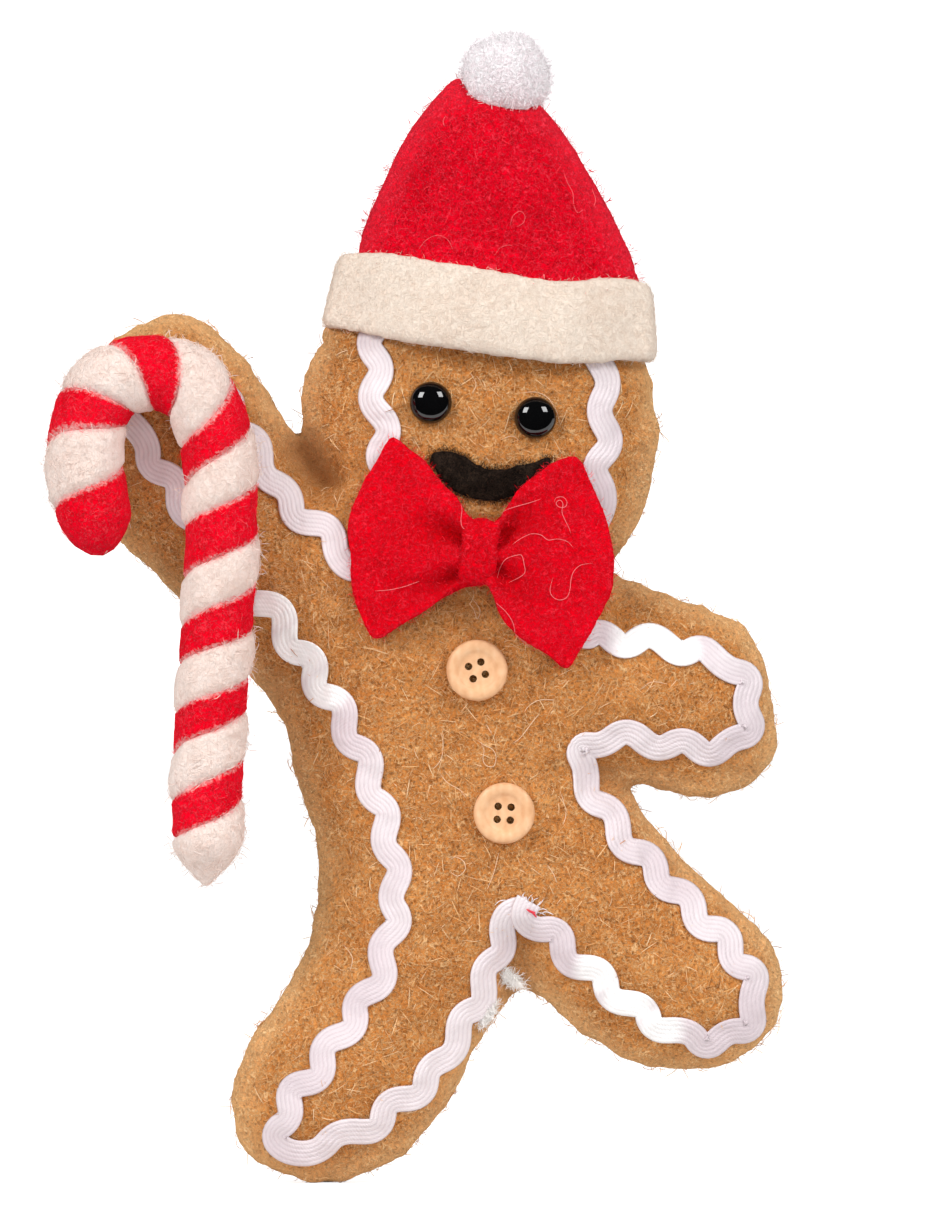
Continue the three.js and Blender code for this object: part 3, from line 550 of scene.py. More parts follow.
def fibres(
    name, base, strands, count, lengths, seed, material, slot, outward=(1, 1, 1), tilt=0.5, clear_of=(),
    where=None,
):
    """Scatters strands, of lengths in millimetres, over a piece's outer side and makes them one new piece.

    outward masks the direction from the piece's middle that tells the outer side from the inner one. No
    strand starts right beside the objects in clear_of. They grow as thick as the piece's attribute where
    says, if it is given.
    """
    area = sum(face.area for face in base.data.polygons)
    middle = sum((Vector(corner) for corner in base.bound_box), Vector()) / 8
    middle = Vector([centre if keep else 0 for centre, keep in zip(middle, outward)])
    shortest, longest = [length * MM for length in lengths]
    tree = bpy.data.node_groups.new(name, "GeometryNodeTree")
    for way in ("INPUT", "OUTPUT"):
        tree.interface.new_socket("Geometry", in_out=way, socket_type="NodeSocketGeometry")
    given = tree.nodes.new("NodeGroupInput").outputs[0]
    place = tree.nodes.new("GeometryNodeInputPosition").outputs[0]
    normal = tree.nodes.new("GeometryNodeInputNormal").outputs[0]

    def vector_math(operation, first, second):
        return wire_up(tree, "ShaderNodeVectorMath", first, second, operation=operation).outputs

    def compared(operation, first, second):
        compare = wire_up(tree, "FunctionNodeCompare", data_type="FLOAT", operation=operation)
        tree.links.new(first, compare.inputs[0])
        compare.inputs[1].default_value = second
        return compare.outputs[0]

    out = vector_math("MULTIPLY", vector_math("SUBTRACT", place, middle)[0], outward)[0]
    facing = vector_math("DOT_PRODUCT", out, normal)["Value"]
    density = count / area
    if where:
        weight = wire_up(tree, "GeometryNodeInputNamedAttribute", Name=where)
        weight = next(socket for socket in weight.outputs if socket.enabled)
        density = wire_up(tree, "ShaderNodeMath", weight, density, operation="MULTIPLY").outputs[0]
    outside = compared("GREATER_THAN", facing, BARELY_INWARD)
    scatter = wire_up(
        tree, "GeometryNodeDistributePointsOnFaces", Mesh=given, Selection=outside, Density=density,
        Seed=seed,
    )
    points = scatter.outputs["Points"]
    if clear_of:
        near = wire_up(tree, "GeometryNodeProximity", joined(tree, clear_of)).outputs["Distance"]
        close = compared("LESS_THAN", near, CLEARANCE)
        points = wire_up(tree, "GeometryNodeDeleteGeometry", Geometry=points, Selection=close).outputs[0]
    spread = random_number(tree, "FLOAT_VECTOR", (-tilt, -tilt, 0), (tilt, tilt, 2 * math.pi), seed + 1)
    turn = wire_up(tree, "FunctionNodeEulerToRotation", spread).outputs[0]
    rotate = wire_up(
        tree, "FunctionNodeRotateRotation", scatter.outputs["Rotation"], turn, rotation_space="LOCAL",
    )
    choice = joined(tree, strands, As_Instance=True)
    planted = wire_up(
        tree, "GeometryNodeInstanceOnPoints", Points=points, Instance=choice, Pick_Instance=True,
        Rotation=rotate.outputs[0], Scale=random_number(tree, "FLOAT", shortest, longest, seed + 2),
        Instance_Index=random_number(tree, "INT", 0, len(strands) - 1, seed + 3),
    )
    toned = wire_up(
        tree, "GeometryNodeStoreNamedAttribute", data_type="FLOAT", domain="INSTANCE", Name="tone",
        Geometry=planted.outputs[0], Value=random_number(tree, "FLOAT", 0, 1, seed + 4),
    )
    real = wire_up(tree, "GeometryNodeRealizeInstances", Geometry=toned.outputs[0])
    wire_up(tree, "NodeGroupOutput", real.outputs[0])

    piece = modified(new_piece(name, base.data.copy()), ("NODES", {"node_group": tree}))
    bpy.data.node_groups.remove(tree)
    piece.data.materials.clear()
    piece.data.materials.append(material)
    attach(piece, "root")


def fibre(name, colours, roughness=0.75):
    """Wool strands whose tone differs from one to the next."""
    shader = Shader(name)
    stops = [srgb(*colour) for colour in colours]
    if len(stops) == 1:
        stops = 2 * stops
    spread = [(at / (len(stops) - 1), colour) for at, colour in enumerate(stops)]
    shader.set(Base_Color=shader.ramp(shader.attribute("tone"), spread), Roughness=roughness)
    shader.set(Specular_IOR_Level=0.08)
    return shader.material


def curve_through(points, step):
    """Even steps along a smooth curve through points: their places, the directions there and its length."""
    fine = []
    padded = [2 * points[0] - points[1], *points, 2 * points[-1] - points[-2]]
    for p0, p1, p2, p3 in zip(padded, padded[1:], padded[2:], padded[3:]):
        for at in range(24):
            t = at / 24
            fine.append(0.5 * (
                2 * p1 + (p2 - p0) * t + (2 * p0 - 5 * p1 + 4 * p2 - p3) * t * t
                + (3 * p1 - p0 - 3 * p2 + p3) * t ** 3
            ))
    fine.append(points[-1])
    lengths = [0.0]
    for a, b in zip(fine, fine[1:]):
        lengths.append(lengths[-1] + (b - a).length)
    count = max(2, round(lengths[-1] / step))
    stations = []
    at = 0
    for index in range(count + 1):
        wanted = lengths[-1] * index / count
        while at < len(fine) - 2 and lengths[at + 1] < wanted:
            at += 1
        share = (wanted - lengths[at]) / (lengths[at + 1] - lengths[at])
        stations.append(fine[at].lerp(fine[at + 1], share))
    ways = []
    for index in range(count + 1):
        ways.append((stations[min(index + 1, count)] - stations[max(index - 1, 0)]).normalized())
    return stations, ways, lengths[-1]


def across(way):
    """The direction across another, in the picture's plane."""
    return Vector((-way.z, 0, way.x))


HAIR_STEP = 0.35 * MM


def hairs(name, paths, ahead, radius, lies_on, material):
    """Long stray hairs through pixels of the picture, each a closed tube that lies on what it crosses."""
    surface = BVHTree.FromObject(lies_on, bpy.context.evaluated_depsgraph_get())
    shape = bmesh.new()
    for path in paths:
        line, ways = curve_through([seen_at(x, y, ahead) for x, y in path], HAIR_STEP)[:2]
        last = len(line) - 1
        for vertex in bmesh.ops.create_grid(shape, x_segments=last, y_segments=5, size=0.5)["verts"]:
            station = round((vertex.co.x + 0.5) * last)
            angle = 2 * math.pi * vertex.co.y
            thin = radius * math.sqrt(max(0, 1 - (2 * station / last - 1) ** 4))
            at = line[station]
            rest = front_of(surface, at.x, at.z, -ahead)
            side = across(ways[station]) * math.cos(angle) * thin
            vertex.co = Vector((at.x, rest - radius + thin * math.sin(angle), at.z)) + side
    bmesh.ops.remove_doubles(shape, verts=shape.verts, dist=0.004 * MM)
    bmesh.ops.recalc_face_normals(shape, faces=shape.faces)
    piece = from_bmesh(name, shape)
    piece.data.shade_smooth()
    piece.data.materials.append(material)
    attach(piece, "root")


brown_fibre = fibre(
    "brown_fibre", [(140, 84, 40), (196, 130, 70), (220, 156, 92), (238, 188, 128), (250, 222, 180)],
)
light_fibre = fibre("light_fibre", [(200, 134, 74), (230, 172, 106), (244, 200, 146), (250, 222, 184)])
FRONT_OR_BACK = (0, 1, 0)
COVERED = [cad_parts[node] for node in ("mouth", "left_trim", "right_trim")]
# The fibres of a panel, its strands and their count, lengths in millimetres, seed, material and tilt
for name, panel, strands, count, lengths, seed, wool, tilt, clear_of in (
    ("front_fibres", front_panel, LYING, 9500, (2.0, 5.0), 11, brown_fibre, 0.12, COVERED),
    ("front_curls", front_panel, CURLING, 7600, (1.8, 4.6), 12, light_fibre, 0.2, COVERED),
    ("front_nap", front_panel, STANDING, 10500, (0.8, 2.0), 21, brown_fibre, 0.5, COVERED),
    ("back_fibres", back_panel, LYING, 8000, (2.0, 5.0), 31, brown_fibre, 0.12, ()),
    ("back_nap", back_panel, STANDING, 7000, (0.8, 2.0), 41, brown_fibre, 0.5, ()),
):
    fibres(name, panel, strands, count, lengths, seed, wool, "brown_felt", FRONT_OR_BACK, tilt, clear_of)
pale_hair = fibre("pale_hair", [(244, 208, 172)], 0.5)
hairs("torso_hairs", [
    [(441, 732), (443, 742), (442, 756), (438, 764), (432, 770)],
    [
        (477, 740), (484, 745), (492, 749), (496, 756), (494, 766), (487, 766), (483, 760), (484, 750),
        (481, 744),
    ],
    [(512, 744), (520, 738), (528, 728), (534, 720), (540, 713)],
    [(524, 712), (530, 705), (540, 700), (556, 700)],
    [(486, 724), (492, 734)],
    [(440, 774), (448, 783), (460, 790), (466, 798)],
    [(499, 852), (494, 872), (487, 890)],
    [(547, 865), (553, 873), (557, 883)],
    [(449, 860), (456, 857), (464, 862), (465, 870), (458, 876), (450, 872)],
    [(468, 602), (474, 610), (477, 619), (480, 610), (472, 598)],
    [(560, 790), (566, 812), (563, 826)],
    [(640, 690), (652, 682), (668, 684)],
    [(343, 945), (352, 958), (350, 972)],
    [(600, 1010), (612, 1003), (626, 1008)],
], 14 * MM, 0.09 * MM, front_panel, pale_hair)
hairs("face_hairs", [
    [(520, 393), (535, 392), (547, 397), (556, 410), (560, 424)],
    [(470, 372), (476, 384), (472, 394)],
    [(500, 440), (512, 436), (520, 441)],
], 14 * MM, 0.08 * MM, front_panel, pale_hair)

# Stuffing: a wad of white wadding that fills the felt, with wisps pulled out between the legs, and a second
# wad in the hat. Its dents are a little deeper than the felt's, so that it stays inside.

wadding = felt(
    "wadding", [(214, 206, 196), (240, 234, 226), (250, 248, 244), (255, 253, 250), (206, 198, 188)],
)
DEEPER = 1.25
STUFFINGS = {
    "figure_stuffing": [
        "torso_stuffing", "head_stuffing", "raised_arm_stuffing", "lowered_arm_stuffing",
        "left_leg_stuffing", "right_leg_stuffing",
    ],
    "crown_stuffing": ["hat_stuffing"],
}
for name, nodes in STUFFINGS.items():
    wad = softened(name, nodes, 1.6, 6)
    for start, end, radius, depth in DENTS:
        dent(wad, start, end, radius, depth * DEEPER)
    roughened(wad, 0.2, 7, 0.1, 1.6)
    wad.data.materials.append(wadding)
    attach(wad, "root")
    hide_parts(*nodes)

wisp_fibre = fibre("wisp_fibre", [(250, 246, 242), (255, 253, 251)])
# Each wisp with its middle's pixel, its half sizes in millimetres, its lean in degrees and its seed
WISPS = [
    ("crotch_wisp", 511, 978, (0.8, 0.35, 2.6), -48, 45),
    ("leg_wisp", 489, 1014, (0.6, 0.4, 3.0), 30, 46),
]
WISP_AHEAD = 7 * MM
WISP_PROUD = 0.5 * MM
for name, x, y, size, lean, seed in WISPS:
    shape = bmesh.new()
    bmesh.ops.create_icosphere(shape, subdivisions=4, radius=MM)
    bmesh.ops.scale(shape, vec=size, verts=shape.verts)
    leaning = Matrix.Rotation(math.radians(lean), 3, "Y")
    bmesh.ops.rotate(shape, cent=(0, 0, 0), matrix=leaning, verts=shape.verts)
    place = seen_at(x, y, WISP_AHEAD)
    place.y = front_of(front_surface, place.x, place.z) - WISP_PROUD
    bmesh.ops.translate(shape, vec=place, verts=shape.verts)
    wisp = from_bmesh(name, shape)
    roughened(wisp, 0.6, 1.5, 0.3, 0.7)
    wisp.data.materials.append(wisp_fibre)
    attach(wisp, "root")
    strands = LYING + CURLING
    fibres(f"{name}_fibres", wisp, strands, 650, (1.2, 3.2), seed, wisp_fibre, "stuffing", tilt=0.4)

# Hat: a front and a back panel of red felt, with the cream felt brim glued right round the hem

# The hat's felt is also painted paler towards the seam, as a rim sheen
hat_felt = felt(
    "hat_felt", [(166, 0, 14), (228, 0, 30), (250, 6, 46), (250, 64, 84), (156, 0, 12)],
    1.4, 0.0, 0.35, 0.45,
)
hat_fibre = fibre("hat_fibre", [(168, 0, 12), (220, 0, 28), (234, 8, 38), (240, 62, 74)])
for name, node, seed in (("hat_front", "hat_front_felt", 51), ("hat_back", "hat_back_felt", 61)):
    panel = softened(name, [node], 0.7, 5)
    crown_smoothed(panel, 1.8 * MM, 3 * MM, 60)
    roughened(panel, 0.3, 12, 0.12, 0.8, swell=0.55)
    panel.data.materials.append(hat_felt)
    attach(panel, "root")
    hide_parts(node)
    strands = LYING + STANDING
    fibres(f"{name}_fibres", panel, strands, 5600, (1.0, 3.0), seed, hat_fibre, "hat_felt", FRONT_OR_BACK)
hat_hair = fibre("hat_hair", [(240, 96, 104)], 0.5)
hairs("hat_hairs", [
    [(564, 172), (568, 182), (573, 192), (574, 204), (578, 212), (584, 208)],
    [(510, 226), (513, 216), (520, 211), (525, 216), (523, 223), (516, 227)],
    [(592, 186), (596, 198), (594, 206)],
    [(418, 250), (426, 240), (438, 235), (448, 240), (453, 250)],
    [(494, 256), (500, 248), (508, 245), (513, 246)],
    [(446, 114), (443, 120), (445, 126)],
], 12 * MM, 0.08 * MM, bpy.data.objects["hat_front"], hat_hair)

brim_felt = felt(
    "brim_felt", [(224, 204, 187), (231, 214, 198), (236, 221, 206), (242, 228, 216), (222, 201, 185)],
    0.5, 0.3, 0.0, relief=0.26,
)
brim_fibre = fibre("brim_fibre", [(229, 211, 195), (235, 218, 203), (241, 226, 212)])
brim = softened("brim", ["hat_brim"], 0.7, 40)
# The inner walls at the brim's ends lie close to the hat
BRIM_END_IN = 2.4 * MM
brim_low, brim_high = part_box("hat_brim")
for vertex in brim.data.vertices:
    out = (2 * vertex.co.x - brim_low.x - brim_high.x) / (brim_high.x - brim_low.x)
    if vertex.normal.x * out < 0:
        vertex.co.x -= BRIM_END_IN * math.copysign(abs(out) ** 3, out)
roughened(brim, 0.4, 13, 0.12, 0.9, swell=0.5)
brim.data.materials.append(brim_felt)
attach(brim, "root")
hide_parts("hat_brim")
fibres("brim_fibres", brim, LYING, 3600, (1.0, 2.4), 71, brim_fibre, "brim_felt", (1, 1, 0), 0.08)
fibres("brim_fringe", brim, STANDING, 2000, (0.6, 1.5), 75, brim_fibre, "brim_felt", (0, 0, 1), 0.6)

# Pompom: a ball of cut white wool, stitched into the hat's tip

pompom_low, pompom_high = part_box("pompom")
POMPOM_SHARE = 0.49
POMPOM_TALLER = 1.1
POMPOM_DROP = 0.7 * MM
shape = bmesh.new()
bmesh.ops.create_icosphere(shape, subdivisions=5, radius=1)
bmesh.ops.scale(shape, vec=(pompom_high - pompom_low) * POMPOM_SHARE, verts=shape.verts)
bmesh.ops.scale(shape, vec=(1, 1, POMPOM_TALLER), verts=shape.verts)
middle = (pompom_high + pompom_low) / 2 - Vector((0, 0, POMPOM_DROP))
bmesh.ops.translate(shape, vec=middle, verts=shape.verts)
pompom = from_bmesh("pompom_ball", shape)
roughened(pompom, 0.8, 5, 0.2, 1.1)
pompom_wool = felt(
    "pompom_wool", [(238, 224, 228), (248, 240, 243), (252, 249, 251), (255, 254, 254), (238, 224, 228)],
    0.5, 0.8, 0.0,
)
pompom_fibre = fibre("pompom_fibre", [(244, 234, 238), (250, 246, 248), (255, 253, 254)])
pompom.data.materials.append(pompom_wool)
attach(pompom, "root")
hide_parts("pompom")
fibres("pompom_fibres", pompom, LYING + STANDING, 5600, (1.0, 2.2), 81, pompom_fibre, "pompom_wool")

# Eyes: polished black plastic domes, each on a stem that is pushed through the felt and glued

black = Shader("eye_plastic")
black.set(Base_Color=srgb(9, 9, 10), Roughness=0.05, Specular_IOR_Level=0.6)


def lathed(profile, steps):
    """A shape turned round the z axis from its profile in millimetres."""
    shape = bmesh.new()
    line = [shape.verts.new((x * MM, 0, z * MM)) for x, z in profile]
    edges = [shape.edges.new(pair) for pair in zip(line, line[1:])]
    round_z = {"cent": (0, 0, 0), "axis": (0, 0, 1), "angle": 2 * math.pi}
    bmesh.ops.spin(shape, geom=line + edges, steps=steps, use_merge=True, **round_z)
    bmesh.ops.remove_doubles(shape, verts=shape.verts, dist=0.01 * MM)
    bmesh.ops.recalc_face_normals(shape, faces=shape.faces)
    return shape


FACING_FRONT = Matrix.Rotation(math.radians(90), 4, "X")
EYE_PROFILE = [(0, -5.0), (1.0, -5.0), (1.0, -3.4), (3.4, -3.2), (4.0, -2.7), (4.2, -1.9)]
EYE_DOME = 2.6
EYE_SET_BACK = 0.7 * MM
EYE_DOME_STEPS = 12
for name in ("left_eye", "right_eye"):
    low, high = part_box(name)
    radius = (high.x - low.x) / 2 / MM
    dome = []
    for step in range(1, EYE_DOME_STEPS + 1):
        angle = math.pi / 2 * step / EYE_DOME_STEPS
        dome.append((radius * math.cos(angle), EYE_DOME * math.sin(angle) + EYE_PROFILE[-1][1]))
    eye = from_bmesh(f"{name}_dome", lathed(EYE_PROFILE + dome, 48))
    middle = (low + high) / 2
    eye.data.transform(Matrix.Translation((middle.x, low.y + EYE_SET_BACK, middle.z)) @ FACING_FRONT)
    eye.data.shade_smooth()
    eye.data.materials.append(black.material)
    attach(eye, "root")
    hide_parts(name)

# Mouth: a crescent of black wool, needled into the face so that its edges blur into the brown

SMILE_SUNK = 0.5 * MM
SMILE_THICK = 1.1 * MM
mouth = softened("smile", ["mouth"], 0.4, 6)
mouth_low, mouth_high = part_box("mouth")
for vertex in mouth.data.vertices:
    proud = (mouth_high.y - vertex.co.y) / (mouth_high.y - mouth_low.y)
    vertex.co.y = front_of(front_surface, vertex.co.x, vertex.co.z) + SMILE_SUNK - SMILE_THICK * proud
roughened(mouth, 0.3, 2.5, 0.2, 0.8, swell=0.25)
mouth_wool = felt(
    "mouth_wool", [(20, 15, 13), (36, 28, 24), (58, 46, 39), (98, 78, 62), (12, 9, 8)], 0.9, 0.05,
)
mouth_fibre = fibre("mouth_fibre", [(18, 14, 12), (37, 29, 24), (64, 49, 40)])
mouth.data.materials.append(mouth_wool)
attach(mouth, "root")
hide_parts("mouth")
fibres(
    "smile_fibres", mouth, LYING + STANDING, 5200, (0.9, 2.2), 91, mouth_fibre, "mouth_wool",
    (1, 0, 1), 0.9,
)

# Buttons: pale turned wood with a rounded rim, a dished middle and four bored holes, glued on with no
# thread. The profile is in millimetres, from the middle of the back round the rim to the dish.

BUTTON_PROFILE = [
    (0, 0), (5.2, 0), (5.8, 0.25), (6.1, 0.9), (6.1, 1.6), (5.9, 2.2), (5.4, 2.55), (4.8, 2.6), (4.2, 2.42),
    (3.75, 2.02), (3.45, 1.75), (3.0, 1.68), (0, 1.66),
]
HOLE_RADIUS = 0.75 * MM
HOLE_APART = 2.6 * MM

wood = Shader("button_wood")
rings = wood.nodes.new("ShaderNodeTexWave")
rings.wave_type = "BANDS"
rings.bands_direction = "X"
WOOD_RINGS = {"Scale": 190, "Distortion": 5, "Detail": 3, "Detail Scale": 1.4, "Vector": wood.place}
for key, value in WOOD_RINGS.items():
    wood.feed(rings.inputs[key], value)
wood_level = wood.math("ADD", wood.math("MULTIPLY", rings.outputs["Fac"], 0.12), wood.noise(2.5 * MM, 3))
WOOD_TONES = [(0.30, srgb(224, 166, 118)), (0.65, srgb(238, 188, 142)), (0.95, srgb(246, 206, 166))]
wood.set(Base_Color=wood.ramp(wood_level, WOOD_TONES), Roughness=0.48)
wood.bump(wood_level, 0.05 * MM)
# Painted shade: the bored holes' walls are dark brown, as the shade inside them
hole_shade = Shader("painted_hole_shade")
hole_shade.set(Base_Color=srgb(74, 40, 26), Roughness=0.9)

for name, turn in (("upper_button", -20), ("lower_button", 4)):
    low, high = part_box(name)
    button = from_bmesh(f"{name}_disc", lathed(BUTTON_PROFILE, 72))
    drills = bmesh.new()
    for x in (-0.5, 0.5):
        for y in (-0.5, 0.5):
            drill = bmesh.ops.create_cone(
                drills, cap_ends=True, segments=24, radius1=HOLE_RADIUS, radius2=HOLE_RADIUS, depth=12 * MM,
            )
            bmesh.ops.translate(drills, vec=(x * HOLE_APART, y * HOLE_APART, 0), verts=drill["verts"])
    for face in drills.faces:
        face.material_index = 1
    drill_bits = from_bmesh("drill_bits", drills)
    for piece in (button, drill_bits):
        piece.data.materials.append(wood.material)
        piece.data.materials.append(hole_shade.material)
    modified(button, ("BOOLEAN", {"operation": "DIFFERENCE", "solver": "EXACT", "object": drill_bits}))
    bpy.data.objects.remove(drill_bits)
    middle = (low + high) / 2
    stand = Matrix.Translation((middle.x, high.y, middle.z)) @ Matrix.Rotation(math.radians(turn), 4, "Y")
    button.data.transform(stand @ FACING_FRONT)
    button.data.shade_smooth()
    button.data.set_sharp_from_angle(angle=math.radians(40))
    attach(button, "root")
    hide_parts(name)

# Rick-rack: a white braid of six ribs that waves from side to side, glued along the edge of the figure. It
# bunches where it turns sharply, and its two lengths meet between the legs.

TRIM_WIDTH = 5.3 * MM
TRIM_THICK = 0.8 * MM
TRIM_CLOTH = 0.55 * MM
TRIM_AHEAD = 13 * MM
RIBS = 6
RIB_CUTS = 4
RIB_DEPTH = 0.11 * MM
TRIM_STEP = 0.55 * MM
TRIM_EDGE_DROP = 0.25 * MM
TRIM_CLIMB = 3 * MM
PAST_THE_TURN = 0.45
TRIM_ROUNDINGS = 5
STITCH = 0.7 * MM

# The turns of each braid's waves, one after the other, at their pixels in the picture
LEFT_TURNS = [
    (380, 322), (369, 345), (382, 370), (370, 399), (389, 429), (377, 458), (395, 480), (384, 508),
    (396, 532), (372, 545), (360, 568), (338, 556), (329, 527), (296, 519), (288, 491), (263, 474),
    (257, 440), (232, 428), (230, 396), (204, 394), (190, 366), (166, 382), (146, 368), (136, 396),
    (122, 410), (146, 441), (150, 467), (176, 480), (181, 512), (208, 526), (212, 556), (238, 570),
    (244, 600), (281, 609), (286, 647), (314, 658), (315, 691), (343, 704), (345, 740), (370, 756),
    (368, 792), (388, 811), (383, 844), (400, 868), (390, 898), (400, 923), (380, 947), (384, 981),
    (356, 1000), (354, 1029), (324, 1045), (321, 1077), (290, 1089), (291, 1117), (274, 1134), (288, 1151),
    (318, 1151), (340, 1133), (377, 1130), (388, 1103), (421, 1096), (429, 1069), (455, 1052), (461, 1018),
    (483, 1004), (484, 970), (503, 953), (502, 928), (511, 912), (526, 910),
]
RIGHT_TURNS = [
    (529, 901), (524, 917), (538, 930), (560, 932), (568, 964), (601, 971), (611, 999), (644, 1007),
    (654, 1029), (689, 1032), (706, 1049), (729, 1032), (753, 1030), (751, 1001), (757, 973), (733, 963),
    (728, 933), (699, 926), (690, 896), (661, 886), (652, 857), (623, 847), (615, 813), (590, 799),
    (587, 770), (578, 746), (602, 746), (628, 732), (657, 749), (684, 740), (709, 755), (732, 739),
    (754, 731), (745, 705), (751, 678), (727, 669), (701, 647), (681, 655), (651, 635), (625, 647),
    (601, 631), (580, 640), (584, 612), (574, 590), (588, 568), (580, 545), (596, 522), (604, 494),
    (595, 467), (611, 442), (599, 412), (608, 384), (596, 356),
]
# Stretches of the braids where a glare highlight is painted in, near white, as a middle pixel and a reach
# in pixels. The highlight fades out from within the reach to a little past it.
GLARE_END = 1.3
GLARE_FADE = 0.6
GLARE_STRETCHES = [
    ((278, 606), 26), ((300, 648), 30), ((326, 690), 20), ((642, 640), 28), ((678, 652), 22),
    ((598, 972), 22), ((628, 1000), 26), ((660, 1030), 22),
]

braid = Shader("trim_braid")
weave = braid.nodes.new("ShaderNodeUVMap")
weave.uv_map = "weave"
parts = braid.nodes.new("ShaderNodeSeparateXYZ")
braid.feed(parts.inputs[0], weave.outputs[0])
rib_phase = braid.math("MULTIPLY", parts.outputs[1], RIBS * 2 * math.pi)
groove = braid.math("ADD", braid.math("MULTIPLY", braid.math("COSINE", rib_phase), 0.5), 0.5)
groove = braid.math("POWER", groove, 3.0)
stitch = braid.math("ADD", braid.math("MULTIPLY", parts.outputs[0], 2 * math.pi / STITCH), rib_phase)
stitch = braid.math("SINE", stitch)
colour = braid.ramp(braid.noise(24 * MM, 1), [(0.40, srgb(220, 206, 211)), (0.62, srgb(238, 228, 231))])
# Painted shade: the grooves between the ribs are darker
colour = braid.tint(colour, srgb(200, 182, 189), groove, 0.35)
# Painted highlight: near white where the glare stretches are
colour = braid.tint(colour, srgb(255, 254, 254), braid.attribute("painted_glare"))
braid.set(Base_Color=colour, Roughness=0.5, Specular_IOR_Level=0.35, Sheen_Weight=0.1)
braid.bump(braid.total((stitch, 0.2), (groove, -0.4)), 0.07 * MM)


def waving(turns):
    """The braid's middle: rounded at every turn and straight between, as a zigzag whose corners are cut."""
    places = [seen_at(x, y, TRIM_AHEAD) for x, y in turns]
    corners = [places[0]]
    for before, at, after in zip(places, places[1:], places[2:]):
        corners.append(at + PAST_THE_TURN * (at - (before + after) / 2))
    corners.append(places[-1])
    middles = [(a + b) / 2 for a, b in zip(corners, corners[1:])]
    line = [corners[0]]
    for first, corner, last in zip(middles, corners[1:], middles[1:]):
        for at in range(8):
            t = at / 8
            line.append(first * (1 - t) ** 2 + 2 * corner * t * (1 - t) + last * t * t)
    return [*line, corners[-1]]


def turned_to_front(shape):
    """Makes a sheet's faces look to the front."""
    bmesh.ops.recalc_face_normals(shape, faces=shape.faces)
    if sum(face.normal.y for face in shape.faces) > 0:
        bmesh.ops.reverse_faces(shape, faces=shape.faces)


def cloth_of(thick):
    """The modifier that makes a sheet so thick, behind its face."""
    return "SOLIDIFY", {"thickness": thick, "offset": -1}


def rick_rack(name, node, turns, over):
    """A ribbed band along its waves. The length in over, at its start, lies on top of the other braid."""
    stations, ways, length = curve_through(waving(turns), TRIM_STEP)
    last = len(stations) - 1
    columns = RIBS * RIB_CUTS
    rows = []
    for column in range(columns + 1):
        offset = (column / columns - 0.5) * TRIM_WIDTH
        row = [at + across(way) * offset for at, way in zip(stations, ways)]
        for repeat in range(TRIM_ROUNDINGS):
            row = [row[0]] + [(a + 2 * b + c) / 4 for a, b, c in zip(row, row[1:], row[2:])] + [row[-1]]
        rows.append(row)
    shape = bmesh.new()
    weave = shape.loops.layers.uv.new("weave")
    painted_glare = shape.verts.layers.float.new("painted_glare")
    bmesh.ops.create_grid(shape, x_segments=last, y_segments=columns, size=0.5)
    for face in shape.faces:
        for loop in face.loops:
            loop[weave].uv = ((loop.vert.co.x + 0.5) * length, loop.vert.co.y + 0.5)
    for vertex in shape.verts:
        station = round((vertex.co.x + 0.5) * last)
        out = vertex.co.y
        place = rows[round((out + 0.5) * columns)][station]
        rib = RIB_DEPTH * abs(math.sin(math.pi * RIBS * (out + 0.5)))
        edge = TRIM_EDGE_DROP * (2 * abs(out)) ** 6
        on_top = clamped((over - length * station / last) / TRIM_CLIMB)
        lift = TRIM_THICK + rib - edge + on_top * TRIM_THICK
        vertex.co = (place.x, front_of(front_surface, place.x, place.z) - lift, place.z)
        # Notes how strongly the glare highlight is painted in at each place
        for middle, reach in GLARE_STRETCHES:
            away = (seen_at(*middle, TRIM_AHEAD) - place).length / (reach * PIXEL)
            vertex[painted_glare] = max(vertex[painted_glare], clamped((GLARE_END - away) / GLARE_FADE))
    turned_to_front(shape)
    trim = modified(from_bmesh(name, shape), cloth_of(TRIM_CLOTH))
    trim.data.shade_smooth()
    trim.data.materials.append(braid.material)
    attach(trim, "root")
    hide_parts(node)
    return trim


rick_rack("left_braid", "left_trim", LEFT_TURNS, 0)
right_braid = rick_rack("right_braid", "right_trim", RIGHT_TURNS, 8 * MM)
frayed = fibre("frayed_braid", [(246, 240, 242)], 0.5)
hairs("frayed_ends", [
    [(519, 905), (518, 900), (521, 895)],
    [(523, 905), (524, 899), (522, 894)],
    [(527, 905), (529, 898), (533, 894)],
    [(531, 906), (534, 900), (539, 898)],
    [(534, 908), (540, 904), (544, 899)],
    [(536, 911), (543, 909), (548, 911)],
    [(514, 906), (508, 901), (500, 901), (494, 906)],
    [(516, 909), (507, 905), (498, 908)],
    [(538, 915), (546, 912), (554, 915)],
    [(521, 905), (521, 899), (525, 892)],
    [(525, 905), (527, 900), (526, 896)],
    [(529, 905), (532, 901), (532, 896)],
    [(533, 907), (538, 905), (541, 901)],
    [(536, 913), (541, 913), (546, 916)],
    [(517, 906), (513, 903), (508, 904)],
], 14 * MM, 0.10 * MM, front_panel, frayed)
red_thread = fibre("red_thread", [(232, 70, 84)], 0.6)
hairs("red_thread_end", [
    [(526, 909), (530, 911), (534, 914), (537, 918)],
    [(528, 911), (532, 912), (536, 913)],
], 14 * MM, 0.22 * MM, right_braid, red_thread)

# Bow: one piece of thick red felt, pinched to soft pleats in the middle by a wrapped band of the same felt,
# its wings puffed out over the chest and the trim. Their outline is given at its pixels in the picture:
# over the wing from the knot to the upper tip, past it to the lower tip, and under it from the knot on. A
# valley is given by how far up it is at the knot and at the outer edge, and by its depth.

